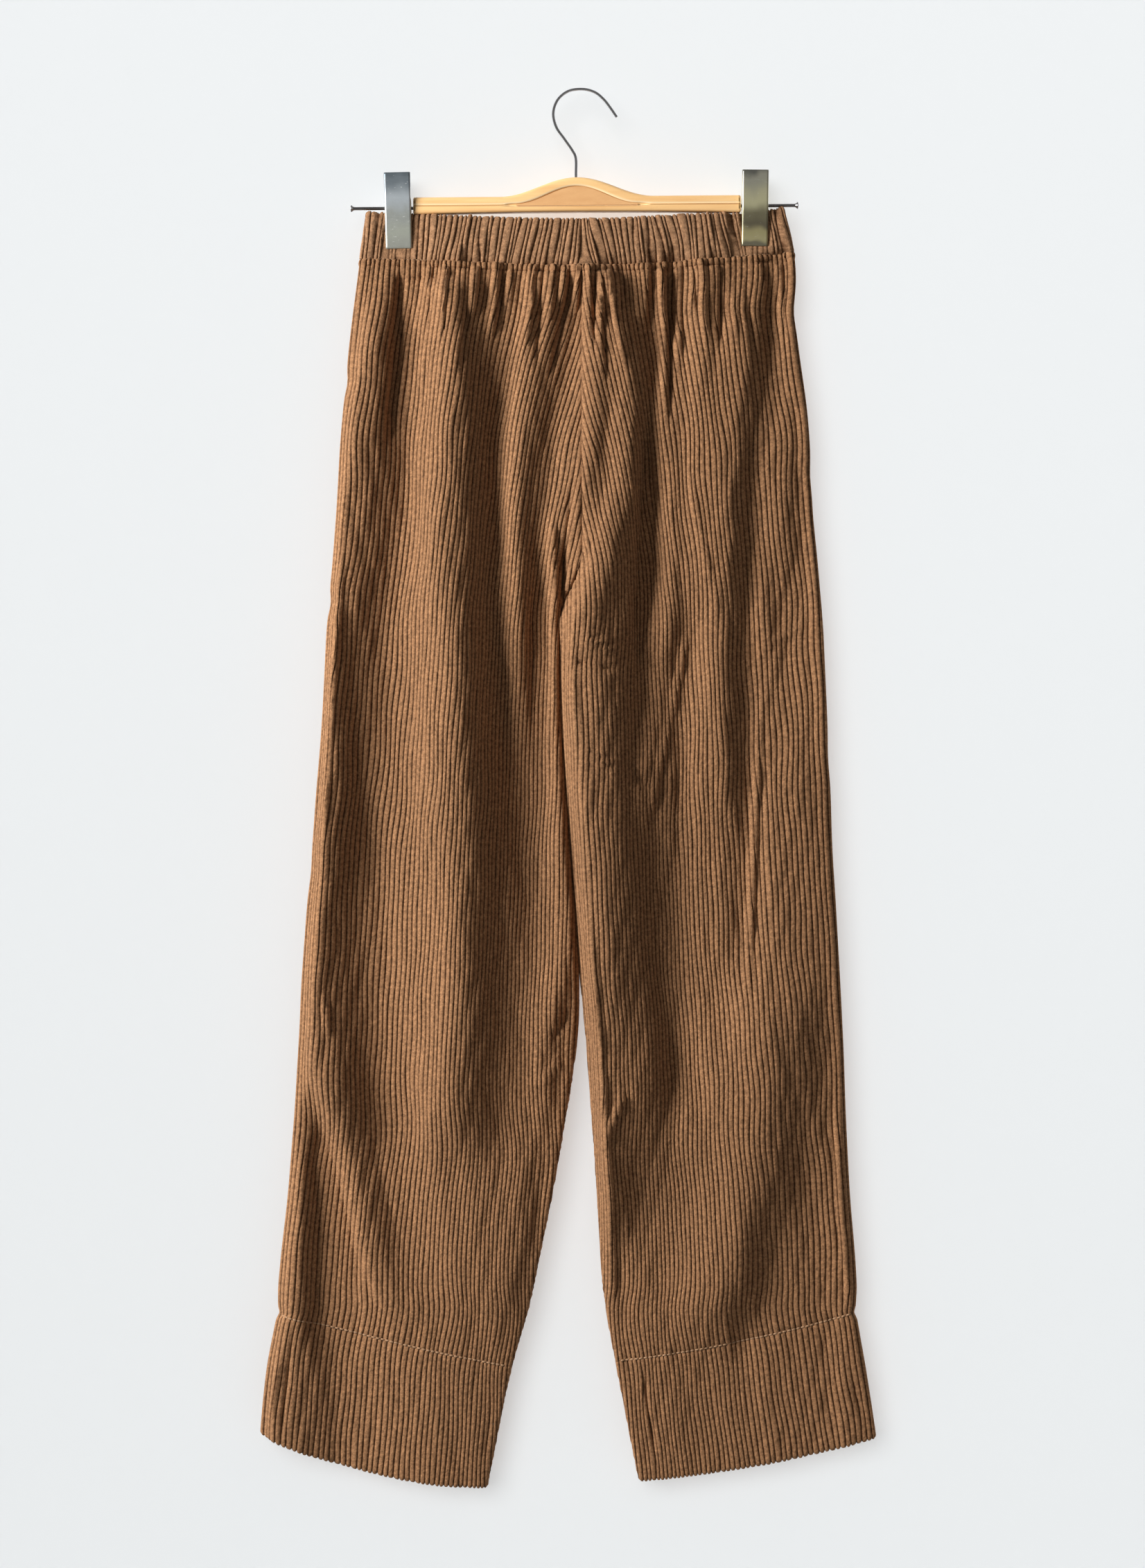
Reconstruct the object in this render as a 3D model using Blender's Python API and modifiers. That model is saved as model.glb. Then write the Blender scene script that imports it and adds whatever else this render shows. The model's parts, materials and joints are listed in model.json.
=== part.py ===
"""Wide-wale corduroy pull-on trousers, clipped by their elastic waistband to a wooden hanger.

The trousers are cut as four leg panels, two back and two front, with a deep turned-up hem on each and a
gathered casing round an elastic at the waist. They hang nearly flat, back towards -Y, from two steel clips
on a rod at each end of the hanger bar. The origin is the inside of the hook's top, where a rail carries it.

Sizes are in millimetres and become metres as a mesh or a curve is made. +Z is up and +X is to the right as
seen from -Y. Left and right name the sides seen from there.
"""

import math
from typing import NamedTuple

import bmesh
import bpy
from mathutils import Vector

MM = 0.001
WELD = 1e-6  # metres
ROUND_STEPS = 24  # sides of a cylinder
SOFT_ANGLE = math.radians(50)  # edges flatter than this are shaded smooth

# ---------------------------------------------------------------- driving sizes
GAP = 0.3  # between neighbouring pieces
CLOTH = 1.8  # thickness of one layer of corduroy
HEM_CLOTH = 3.4  # the turned-up hem, two layers
BAND_CLOTH = 3.4  # the waist casing, two layers round an elastic
EDGE_POWER = 3.2  # roundness of the folded side edges; 2 is an ellipse
EDGE_FADE = 0.11  # share of a panel's width over which folds die out at a folded edge

EVEN_SHARE = 0.55  # of a panel's columns' spacing; the rest closes up towards its edges

PANEL_COLUMNS = 18
PANEL_ROWS = 22
HEM_ROWS = 2
BAND_ROWS = 2

CLIP_X = {"left": -144.8, "right": 133.0}
CLIP_LEAN = {"left": -1.3, "right": 0.5}  # degrees about +Y
CLIP_WIDTH = 20.5
CLIP_PLATE = 0.9
CLIP_TOP = 26.3  # above the rod
CLIP_BOTTOM = -32.3  # below the rod
CLIP_GRIP = 5.0  # half the thickness of the waistband between the jaws
CLIP_GRIP_REACH = (17.0, 32.0)  # half-widths of the pressed area and of the area that it pulls flat
CLIP_GRIP_LEVELS = (-126.0, -200.0)  # z above which the cloth is pressed, and below which it is free
CLIP_DEPTH = 12.0  # from the rod out to the face's top
CLIP_JAW = CLIP_GRIP + GAP / 2 + GAP  # from the middle of the cloth to a jaw
CLIP_LIP = 1.2  # how far the face stands out from the jaw at its bottom
CLIP_JAW_TOP = -4.4
CLIP_EAR = (-1.9, 2.9)  # how far the ears reach past the rod, and half their height there
CLIP_FLANGE = ((6.4, 7.5), (8.2, CLIP_TOP))  # the flanges' inner edge above the rod, in y and z
CLIP_HOLLOW = -4.0  # the hollow between the flanges runs past the rod to here
SPRING_RADIUS = 3.6
SPRING_BORE = 1.9
SPRING_LENGTH = 11.0

BAR_CENTRE = (-5.5, 0.0, -90.7)  # on the rods' axis
BAR_TILT = -0.42  # degrees about +Y; the right end is higher
BAR_HALF_LENGTH = 127.5
BAR_TOP = 7.9
BAR_BOTTOM = -5.6
BAR_DEPTH = 12.0
BAR_ROUND = 2.2
BAR_ARCH = 1.6  # rise of the bottom edge at the middle
ARCH_STEPS = 8
HUMP_STEPS = 24
HUMP_HEIGHT = 14.8
HUMP_HALF_WIDTH = 60.0
INLAY_HALF_WIDTH = 48.0
INLAY_BORDER = 7.2  # wood above the inlay
INLAY_FLOOR = 4.4  # wood below the inlay, at the middle
INLAY_TIP = 1.6  # height of the inlay at its two ends
INLAY_STEPS = 16
INLAY_SLOPE = 1.2  # a margin measured straight down from the sloping roof is this much longer
POCKET_DEPTH = 1.5
STEM_HOLE_DEPTH = 13.0
INLAY_PLATE = 0.9

ROD_RADIUS = 1.45
ROD_HEAD_RADIUS = 2.75
ROD_HEAD = (0.9, 2.4)  # from the rod's end to the head's inner side, and to where it starts to spread
ROD_END = {"left": -181.8, "right": 166.9}
ROD_SOCKET = 12.0  # length of rod inside the bar

WIRE_RADIUS = 1.25
STEM_X = -6.3
STEM_FOOT = -80.0


class Section(NamedTuple):
    """One level of the trousers: where the edges lie, half the depth, and how far the legs are one tube."""

    z: float
    outer_left: float
    outer_right: float
    inner_left: float
    inner_right: float
    half_depth: float
    joined: float


SECTIONS = (
    Section(-90.0, -169.0, 155.0, -1.8, -1.8, 9.0, 1.0),
    Section(-132.0, -174.0, 163.6, -1.8, -1.8, 9.6, 1.0),
    Section(-190.0, -181.0, 165.0, -1.8, -1.8, 12.5, 1.0),
    Section(-250.0, -187.0, 173.0, -1.8, -1.8, 13.0, 1.0),
    Section(-330.0, -192.3, 177.5, -1.8, -1.8, 13.0, 1.0),
    Section(-366.0, -195.0, 181.0, -1.8, -1.8, 12.5, 0.75),
    Section(-386.0, -196.8, 182.7, -9.0, -9.0, 12.2, 0.35),
    Section(-408.0, -198.6, 184.5, -18.6, -18.6, 11.8, 0.0),
    Section(-430.0, -200.2, 186.0, -19.0, -19.0, 12.0, 0.0),
    Section(-500.0, -204.0, 189.2, -17.4, -17.4, 12.0, 0.0),
    Section(-600.0, -212.0, 193.3, -10.0, -10.0, 12.0, 0.0),
    Section(-690.0, -219.0, 198.5, -4.0, -3.0, 12.0, 0.0),
    Section(-740.0, -221.4, 201.0, -5.4, 1.6, 12.0, 0.0),
    Section(-830.0, -227.3, 204.5, -19.2, 8.2, 12.0, 0.0),
    Section(-930.0, -237.3, 211.6, -38.8, 14.6, 11.0, 0.0),
    Section(-950.0, -238.2, 211.4, -43.4, 17.2, 10.8, 0.0),
    Section(-1000.0, -247.2, 219.6, -57.4, 26.4, 9.8, 0.0),
    Section(-1090.0, -255.0, 233.0, -75.6, 44.0, 8.5, 0.0),
)


class BandLine(NamedTuple):
    """Where the waistband's top edge and its lower stitch line lie at one place along it."""

    x: float
    top: float
    bottom: float


BAND = (
    BandLine(-174.0, -95.9, -131.6),
    BandLine(-130.0, -97.9, -132.6),
    BandLine(-2.0, -101.3, -137.0),
    BandLine(100.0, -97.1, -131.4),
    BandLine(142.0, -96.2, -127.9),
    BandLine(164.0, -91.7, -125.6),
)


class HemLine(NamedTuple):
    """The heights of one line round a leg at its outer edge, its middle and its inner edge."""

    outer: float
    middle: float
    inner: float


HEM_STITCH = {"left": HemLine(-953.0, -975.0, -994.0), "right": HemLine(-952.0, -974.5, -989.5)}
HEM_EDGE = {"left": HemLine(-1046.0, -1077.0, -1087.5), "right": HemLine(-1049.0, -1070.5, -1082.5)}


class Fold(NamedTuple):
    """A soft ridge that runs down the cloth, or a trough where its height is below zero: its ends, its line's x
    at the top, halfway and at the bottom, its height, and how far its left and right flanks reach."""

    top: float
    bottom: float
    x_top: float
    x_mid: float
    x_bottom: float
    height: float
    left: float
    right: float


FOLDS = {
    "back": (
        Fold(-133, -720, 151, 130, 125, -5.5, 23, 22),
        Fold(-133, -458, 66, 61, 45, -5.0, 26, 28),
        Fold(-138, -255, 27, 45, 48, -3.0, 15, 24),
        Fold(-142, -649, -155, -197, -208, 5.5, 14, 30),
        Fold(-142, -361, 1, 7, -8, 6.0, 15, 16),
        Fold(-145, -666, 8, -44, -37, -3.0, 25, 18),
        Fold(-145, -450, 17, 30, -23, 6.0, 29, 26),
        Fold(-149, -423, -32, -54, -49, 3.0, 14, 32),
        Fold(-150, -477, -132, -140, -165, -7.0, 30, 34),
        Fold(-157, -850, -109, -104, -102, 10.0, 36, 43),
        Fold(-194, -531, -62, -67, -60, -5.5, 24, 22),
        Fold(-196, -552, 166, 170, 176, -2.5, 27, 18),
        Fold(-266, -545, 52, 56, 37, -4.0, 18, 16),
        Fold(-278, -613, -217, -200, -189, 4.0, 23, 22),
        Fold(-314, -879, 16, 26, 46, 6.5, 55, 30),
        Fold(-320, -717, -36, -30, -15, -2.5, 15, 17),
        Fold(-344, -726, -9, -39, -31, -4.0, 35, 22),
        Fold(-349, -568, 153, 150, 144, -3.5, 17, 24),
        Fold(-376, -931, -13, 7, 5, 9.5, 24, 40),
        Fold(-387, -827, 87, 74, 88, -6.0, 35, 24),
        Fold(-391, -790, -87, -88, -87, 3.5, 32, 26),
        Fold(-422, -958, -146, -161, -124, -6.0, 38, 36),
        Fold(-547, -776, 93, 97, 108, -4.0, 25, 29),
        Fold(-550, -830, -199, -210, -185, 6.5, 22, 40),
        Fold(-603, -848, -204, -216, -225, 4.0, 15, 20),
        Fold(-684, -994, 147, 130, 89, 8.5, 55, 45),
        Fold(-694, -833, 56, 50, 40, 2.5, 24, 20),
        Fold(-723, -987, -214, -183, -139, 4.5, 11, 35),
        Fold(-781, -1019, -211, -192, -195, -4.0, 28, 24),
        Fold(-794, -1007, -204, -208, -210, -3.5, 14, 21),
    ),
    "front": (
        Fold(-134, -480, -160, -168, -184, 4.0, 15, 22),
        Fold(-140, -620, -118, -112, -118, 7.5, 30, 32),
        Fold(-560, -990, -140, -128, -92, 7.0, 36, 30),
        Fold(-132, -430, -70, -74, -66, 4.5, 18, 17),
        Fold(-134, -400, -24, -34, -26, 5.5, 16, 18),
        Fold(-134, -400, 28, 30, 10, 6.0, 16, 16),
        Fold(-132, -330, 68, 66, 60, 4.0, 16, 14),
        Fold(-150, -700, 104, 108, 112, 8.0, 32, 34),
        Fold(-650, -1000, 118, 128, 142, 6.0, 32, 32),
        Fold(-134, -560, 146, 152, 160, 4.5, 18, 20),
        Fold(-430, -860, 18, 24, 44, 4.5, 22, 24),
        Fold(-420, -800, -196, -201, -209, 3.5, 14, 18),
        Fold(-430, -800, -36, -34, -48, 4.5, 24, 18),
        Fold(-740, -1000, 196, 194, 200, 3.0, 14, 14),
    ),
}
FOLD_RISE = 70.0  # length over which a fold rises from nothing at an end that isn't gathered
GATHER_RISE = 12.0  # the same under the waistband, where folds start at once
GATHER_LEVEL = -160.0  # folds that start above this start in the gathers

HOOK_PATH = (  # x and z of the wire's centre, from the foot of the stem to the tip
    (STEM_X, STEM_FOOT),
    (STEM_X, -66.0),
    (STEM_X - 0.1, -53.0),
    (-9.0, -46.8),
    (-15.2, -37.8),
    (-21.6, -28.4),
    (-24.0, -17.6),
    (-20.6, -7.2),
    (-12.2, -0.3),
    (-1.0, WIRE_RADIUS),
    (8.4, -1.2),
    (15.2, -6.6),
    (20.2, -12.9),
    (25.3, -20.3),
)
HOOK_STEPS = 4  # points to each stretch of the hook

FACES = {"back": -1.0, "front": 1.0}
CLOTH_COLOUR = (0.26, 0.135, 0.068, 1.0)
BAND_COLOUR = (0.28, 0.147, 0.075, 1.0)
WOOD_COLOUR = (0.86, 0.6, 0.31, 1.0)
INLAY_COLOUR = (0.78, 0.49, 0.24, 1.0)
CLIP_COLOUR = (0.56, 0.56, 0.53, 1.0)
WIRE_COLOUR = (0.72, 0.72, 0.74, 1.0)
ROD_COLOUR = (0.3, 0.3, 0.31, 1.0)


# ---------------------------------------------------------------- scene, materials and small helpers
def clear_scene():
    """Removes what the scene starts with."""
    for item in list(bpy.data.objects):
        bpy.data.objects.remove(item)


def new_collection(name):
    """A collection linked into the scene."""
    made = bpy.data.collections.new(name)
    bpy.context.scene.collection.children.link(made)
    return made


def material(name, colour, roughness, metallic=0.0):
    """A Principled material of one colour."""
    made = bpy.data.materials.new(name)
    made.use_nodes = True
    shader = made.node_tree.nodes["Principled BSDF"]
    shader.inputs["Base Color"].default_value = colour
    shader.inputs["Roughness"].default_value = roughness
    shader.inputs["Metallic"].default_value = metallic
    made.diffuse_color = colour
    return made


def add_object(name, data, finish, collection):
    """An object of this mesh or curve, in the collection."""
    made = bpy.data.objects.new(name, data)
    if finish:
        data.materials.append(finish)
    collection.objects.link(made)
    return made


def ease(share):
    """A smooth step from 0 to 1."""
    share = min(max(share, 0.0), 1.0)
    return share * share * (3.0 - 2.0 * share)


def smooth_between(rows, places, at):
    """The smooth curve through rows of values given at the places, in rising or falling order."""
    falling = places[0] > places[-1]
    order = [-place for place in places] if falling else list(places)
    at = -at if falling else at
    at = min(max(at, order[0]), order[-1])
    low = max(i for i in range(len(order) - 1) if order[i] <= at)
    before, after = max(low - 1, 0), min(low + 2, len(order) - 1)
    span = order[low + 1] - order[low]
    t = (at - order[low]) / span
    start_slope = (rows[low + 1] - rows[before]) / (order[low + 1] - order[before]) * span
    end_slope = (rows[after] - rows[low]) / (order[after] - order[low]) * span
    return (
        rows[low] * (2 * t**3 - 3 * t**2 + 1)
        + start_slope * (t**3 - 2 * t**2 + t)
        + rows[low + 1] * (3 * t**2 - 2 * t**3)
        + end_slope * (t**3 - t**2)
    )


def section_value(column, z):
    """A column of the table of sections, at any height."""
    return smooth_between([getattr(s, column) for s in SECTIONS], [s.z for s in SECTIONS], z)


def band_value(column, x):
    """A column of the waistband's table, at any x."""
    return smooth_between([getattr(b, column) for b in BAND], [b.x for b in BAND], x)


def hem_height(line, across):
    """The height of a line round a leg, from -1 at the outer edge to 1 at the inner edge."""
    slope = (line.inner - line.outer) / 2
    bow = (line.inner + line.outer) / 2 - line.middle
    return line.middle + slope * across + bow * across**2


# ---------------------------------------------------------------- the form of the cloth
def fold_height(face, x, z):
    """How far the folds lift the cloth at this place of one face."""
    total = 0.0
    for fold in FOLDS[face]:
        if not fold.bottom < z < fold.top + GATHER_RISE:
            continue
        down = (z - fold.top) / (fold.bottom - fold.top)
        crest = (
            fold.x_top * (1 - down) * (1 - 2 * down)
            + fold.x_mid * 4 * down * (1 - down)
            + fold.x_bottom * down * (2 * down - 1)
        )
        reach = fold.left if x < crest else fold.right
        off = (x - crest) / reach
        if abs(off) >= 1:
            continue
        rise = GATHER_RISE if fold.top > GATHER_LEVEL else FOLD_RISE
        fade = ease((fold.top + GATHER_RISE - z) / rise) * ease((z - fold.bottom) / FOLD_RISE)
        total += fold.height * fade * math.cos(off * math.pi / 2) ** 2
    return total


def grip(x, z):
    """How much a clip presses the cloth flat here, from 0 to 1."""
    pressed, pulled = CLIP_GRIP_REACH
    held, free = CLIP_GRIP_LEVELS
    down = 1 - ease((held - z) / (held - free))
    return max(down * (1 - ease((abs(x - at) - pressed) / (pulled - pressed))) for at in CLIP_X.values())


def cloth_point(face, leg, across, z, inset):
    """A point of the cloth, inset from its outer surface.

    across runs from -1 at the side seam to 1 at the leg's inner edge, which is the centre seam where the
    legs are one tube.
    """
    outer = section_value(f"outer_{leg}", z)
    inner = section_value(f"inner_{leg}", z)
    inward = math.copysign(1.0, inner - outer)
    joined = min(max(section_value("joined", z), 0.0), 1.0)
    apart = 1.0 - joined
    outer_x = outer + inward * inset
    inner_x = inner - inward * (GAP * (0.5 + 0.5 * apart) + inset * apart)
    x = outer_x + (inner_x - outer_x) * (across + 1) / 2
    rounded = max(1 - abs(across) ** EDGE_POWER, 0.0) ** (1 / EDGE_POWER)
    profile = rounded if across < 0 else joined + apart * rounded
    fade = ease((1 + across) / EDGE_FADE) * (joined + apart * ease((1 - across) / EDGE_FADE))
    surface_x = outer + (inner - outer) * (across + 1) / 2
    depth = (section_value("half_depth", z) - inset) * profile + fade * fold_height(face, surface_x, z)
    pressed = grip(surface_x, z)
    depth = depth * (1 - pressed) + min(depth, CLIP_GRIP - inset) * pressed
    return Vector((x, FACES[face] * (GAP / 2 + depth), z))


def across_places(count):
    """The places of a panel's columns, close together at both edges where the cloth turns round."""
    places = []
    for i in range(count + 1):
        even = 2 * i / count - 1
        places.append(even * EVEN_SHARE + math.sin(math.pi * even / 2) * (1 - EVEN_SHARE))
    return places


def waist_x(leg, across):
    """The x of a column where it meets the waistband."""
    z = SECTIONS[1].z
    outer, inner = section_value(f"outer_{leg}", z), section_value(f"inner_{leg}", z)
    return outer + (inner - outer) * (across + 1) / 2


def shell(name, outside, inside, finish, collection):
    """A closed wall between two grids of points, a loft between unlike sections."""
    bm = bmesh.new()
    outer = [[bm.verts.new(point * MM) for point in row] for row in outside]
    inner = [[bm.verts.new(point * MM) for point in row] for row in inside]
    last_row, last_column = len(outside) - 1, len(outside[0]) - 1
    for r in range(last_row):
        for c in range(last_column):
            bm.faces.new((outer[r][c], outer[r][c + 1], outer[r + 1][c + 1], outer[r + 1][c]))
            bm.faces.new((inner[r][c], inner[r + 1][c], inner[r + 1][c + 1], inner[r][c + 1]))
        for c in (0, last_column):
            bm.faces.new((outer[r][c], outer[r + 1][c], inner[r + 1][c], inner[r][c]))
    for c in range(last_column):
        for r in (0, last_row):
            bm.faces.new((outer[r][c], inner[r][c], inner[r][c + 1], outer[r][c + 1]))
    bmesh.ops.recalc_face_normals(bm, faces=bm.faces)
    mesh = bpy.data.meshes.new(name)
    bm.to_mesh(mesh)
    bm.free()
    mesh.shade_smooth()
    mesh.set_sharp_from_angle(angle=SOFT_ANGLE)
    return add_object(name, mesh, finish, collection)


def rows_between(face, leg, columns, heights, inset):
    """Rows of cloth points, from the first height of each column to its last."""
    return [[cloth_point(face, leg, across, z, inset) for across, z in zip(columns, row)] for row in heights]


def height_rows(tops, bottoms, count):
    """Heights for count + 1 rows, evenly from each column's top to its bottom."""
    return [[t + (b - t) * r / count for t, b in zip(tops, bottoms)] for r in range(count + 1)]


def build_leg_panel(face, leg, finish, collection):
    """One back or front leg, from under the waistband to the hem's stitch line."""
    columns = across_places(PANEL_COLUMNS)
    tops = [band_value("bottom", waist_x(leg, across)) - GAP for across in columns]
    bottoms = [hem_height(HEM_STITCH[leg], across) for across in columns]
    heights = height_rows(tops, bottoms, PANEL_ROWS)
    outside = rows_between(face, leg, columns, heights, 0.0)
    inside = rows_between(face, leg, columns, heights, CLOTH)
    shell(f"{face}_leg_{leg}", outside, inside, finish, collection)


def build_hem(face, leg, finish, collection):
    """The turned-up hem of one panel, two layers thick."""
    columns = across_places(PANEL_COLUMNS)
    tops = [hem_height(HEM_STITCH[leg], across) - GAP for across in columns]
    bottoms = [hem_height(HEM_EDGE[leg], across) for across in columns]
    heights = height_rows(tops, bottoms, HEM_ROWS)
    outside = rows_between(face, leg, columns, heights, 0.0)
    inside = rows_between(face, leg, columns, heights, HEM_CLOTH)
    shell(f"hem_{face}_{leg}", outside, inside, finish, collection)


def build_waistband(face, finish, collection):
    """The gathered casing of one face, from side seam to side seam."""
    half = across_places(PANEL_COLUMNS)[:-1]
    stations = [("left", across) for across in half] + [("left", 1.0)]
    stations += [("right", across) for across in reversed(half)]
    tops = [band_value("top", waist_x(leg, across)) for leg, across in stations]
    bottoms = [band_value("bottom", waist_x(leg, across)) for leg, across in stations]
    walls = []
    for inset in (0.0, BAND_CLOTH):
        rows = height_rows(tops, bottoms, BAND_ROWS)
        walls.append([])
        for row in rows:
            walls[-1].append([cloth_point(face, *station, z, inset) for station, z in zip(stations, row)])
    shell(f"waistband_{face}", *walls, finish, collection)


# ---------------------------------------------------------------- the hanger
def hump(x):
    """The rise of the bar's top edge above its straight ends."""
    if abs(x) >= HUMP_HALF_WIDTH:
        return 0.0
    return HUMP_HEIGHT * (1 + math.cos(math.pi * x / HUMP_HALF_WIDTH)) / 2


def bar_outline():
    """The bar's outline in its own x and z, clockwise from the top left."""
    top = [(-BAR_HALF_LENGTH, BAR_TOP)]
    for i in range(HUMP_STEPS + 1):
        x = HUMP_HALF_WIDTH * (2 * i / HUMP_STEPS - 1)
        top.append((x, BAR_TOP + hump(x)))
    top.append((BAR_HALF_LENGTH, BAR_TOP))
    bottom = []
    for i in range(ARCH_STEPS + 1):
        x = BAR_HALF_LENGTH * (1 - 2 * i / ARCH_STEPS)
        bottom.append((x, BAR_BOTTOM + BAR_ARCH * (1 - (x / BAR_HALF_LENGTH) ** 2)))
    return top + bottom


def inlay_outline(margin):
    """The inlay's D shape, shrunk by a margin: it follows the hump above and is straight below."""
    floor = BAR_BOTTOM + BAR_ARCH + INLAY_FLOOR
    roof = BAR_TOP + HUMP_HEIGHT - INLAY_BORDER
    tip = floor + INLAY_TIP
    points = []
    for i in range(INLAY_STEPS + 1):
        x = (INLAY_HALF_WIDTH - 2 * margin) * (2 * i / INLAY_STEPS - 1)
        share = (1 + math.cos(math.pi * x / INLAY_HALF_WIDTH)) / 2
        points.append((x, tip + (roof - tip) * share - INLAY_SLOPE * margin))
    return points + [(x, floor + margin) for x, _ in (points[-1], points[0])]


def outline_solid(name, outline, thickness, rounding=0.0):
    """A mesh of a flat outline in X and Z, centred on y = 0, with its edges rounded."""
    curve = bpy.data.curves.new(name, "CURVE")
    curve.dimensions = "2D"
    curve.fill_mode = "BOTH"
    curve.extrude = (thickness / 2 - rounding) * MM
    curve.bevel_depth = rounding * MM
    curve.bevel_resolution = 1
    curve.offset = -rounding * MM
    spline = curve.splines.new("POLY")
    spline.points.add(len(outline) - 1)
    for point, (x, z) in zip(spline.points, outline):
        point.co = (x * MM, z * MM, 0.0, 1.0)
    spline.use_cyclic_u = True
    guide = bpy.data.objects.new(name, curve)
    bpy.context.scene.collection.objects.link(guide)
    graph = bpy.context.evaluated_depsgraph_get()
    mesh = bpy.data.meshes.new_from_object(guide.evaluated_get(graph))
    bpy.data.objects.remove(guide)
    bm = bmesh.new()
    bm.from_mesh(mesh)
    bmesh.ops.remove_doubles(bm, verts=bm.verts, dist=WELD)
    for vert in bm.verts:
        vert.co = (vert.co.x, -vert.co.z, vert.co.y)
    bmesh.ops.recalc_face_normals(bm, faces=bm.faces)
    bm.to_mesh(mesh)
    bm.free()
    mesh.shade_smooth()
    mesh.set_sharp_from_angle(angle=SOFT_ANGLE)
    return mesh


def cylinder_mesh(name, radius, length, axis):
    """A closed cylinder centred on the origin along X or Z."""
    bm = bmesh.new()
    bmesh.ops.create_cone(
        bm, cap_ends=True, segments=ROUND_STEPS, radius1=radius * MM, radius2=radius * MM, depth=length * MM
    )
    if axis == "X":
        for vert in bm.verts:
            vert.co = (vert.co.z, vert.co.y, -vert.co.x)
    mesh = bpy.data.meshes.new(name)
    bm.to_mesh(mesh)
    bm.free()
    return mesh


def add_cut(body, mesh, place, collection, parent=None):
    """Cuts a shape out of the body, and keeps its cutter as a hidden wire object."""
    cutter = add_object(mesh.name, mesh, None, collection)
    cutter.location = Vector(place) * MM
    cutter.hide_render = True
    cutter.display_type = "WIRE"
    if parent:
        cutter.parent = parent
    cut = body.modifiers.new(mesh.name, "BOOLEAN")
    cut.operation = "DIFFERENCE"
    cut.solver = "EXACT"
    cut.object = cutter


def build_bar(frame, finishes, parts, cutters):
    """The wooden bar with its stem hole, rod sockets and inlay pockets, and the inlay on each face."""
    body = outline_solid("bar", bar_outline(), BAR_DEPTH, BAR_ROUND)
    bar = add_object("hanger_bar", body, finishes["wood"], parts)
    bar.parent = frame
    stem_x = STEM_X - BAR_CENTRE[0]
    top = BAR_TOP + HUMP_HEIGHT
    hole = cylinder_mesh("stem_hole", WIRE_RADIUS + GAP, 2 * STEM_HOLE_DEPTH, "Z")
    add_cut(bar, hole, (stem_x, 0, top), cutters, frame)
    for end in (-1, 1):
        socket = cylinder_mesh("rod_socket", ROD_RADIUS + GAP, 2 * (ROD_SOCKET + GAP), "X")
        add_cut(bar, socket, (end * BAR_HALF_LENGTH, 0, 0), cutters, frame)
    for face, out in FACES.items():
        pocket = outline_solid(f"inlay_pocket_{face}", inlay_outline(0.0), 2 * POCKET_DEPTH)
        add_cut(bar, pocket, (0, out * BAR_DEPTH / 2, 0), cutters, frame)
        plate = outline_solid(f"inlay_plate_{face}", inlay_outline(GAP), INLAY_PLATE)
        inlay = add_object(f"hanger_inlay_{face}", plate, finishes["inlay"], parts)
        seat = BAR_DEPTH / 2 - POCKET_DEPTH + GAP + INLAY_PLATE / 2
        inlay.location = (0, out * seat * MM, 0)
        inlay.parent = frame


def wire(name, points, radius, finish, collection, sides=3):
    """A round wire along points of x, y, z and relative thickness."""
    curve = bpy.data.curves.new(name, "CURVE")
    curve.dimensions = "3D"
    curve.bevel_depth = radius * MM
    curve.bevel_resolution = sides
    curve.use_fill_caps = True
    spline = curve.splines.new("POLY")
    spline.points.add(len(points) - 1)
    for point, (x, y, z, thickness) in zip(spline.points, points):
        point.co = (x * MM, y * MM, z * MM, 1.0)
        point.radius = thickness
    return add_object(name, curve, finish, collection)


def build_hook(finish, collection):
    """The hook: a straight stem out of the bar, a bend to the left and a round top."""
    places = list(range(len(HOOK_PATH)))
    xs = [x for x, _ in HOOK_PATH]
    zs = [z for _, z in HOOK_PATH]
    count = (len(HOOK_PATH) - 1) * HOOK_STEPS
    path = []
    for i in range(count + 1):
        at = i / HOOK_STEPS
        path.append((smooth_between(xs, places, at), 0.0, smooth_between(zs, places, at), 1.0))
    wire("hanger_hook", path, WIRE_RADIUS, finish, collection)


def build_rods(frame, finish, collection):
    """A steel rod out of each end of the bar, with a spread head that keeps the clip on."""
    head = ROD_HEAD_RADIUS / ROD_RADIUS
    disc, neck = ROD_HEAD
    for side, out in (("left", -1), ("right", 1)):
        tip = ROD_END[side] - BAR_CENTRE[0]
        foot = out * (BAR_HALF_LENGTH - ROD_SOCKET)
        path = (
            (foot, 0, 0, 1.0),
            (tip - out * neck, 0, 0, 1.0),
            (tip - out * disc, 0, 0, head),
            (tip, 0, 0, head),
        )
        rod = wire(f"hanger_rod_{side}", path, ROD_RADIUS, finish, collection)
        rod.parent = frame


def clip_profile(out):
    """A clip half seen from its side, in y and z from the rod: face, jaw, flange and the ear round the rod."""
    ear, ear_half = CLIP_EAR
    half = (
        (CLIP_DEPTH, CLIP_TOP),
        (CLIP_JAW + CLIP_LIP, CLIP_BOTTOM),
        (CLIP_JAW, CLIP_BOTTOM),
        (CLIP_JAW, CLIP_JAW_TOP),
        (ear, -ear_half),
        (ear, ear_half),
        *CLIP_FLANGE,
    )
    return [(out * y, z) for y, z in half]


def clip_hollow(out):
    """What is cut from between a clip half's flanges, leaving its face and its jaw's lip."""
    above = CLIP_TOP + CLIP_PLATE
    floor = CLIP_BOTTOM + CLIP_PLATE
    half = (
        (CLIP_DEPTH - CLIP_PLATE, above),
        (CLIP_JAW + CLIP_LIP - CLIP_PLATE, floor),
        (CLIP_HOLLOW, floor),
        (CLIP_HOLLOW, above),
    )
    return [(out * y, z) for y, z in half]


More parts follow.
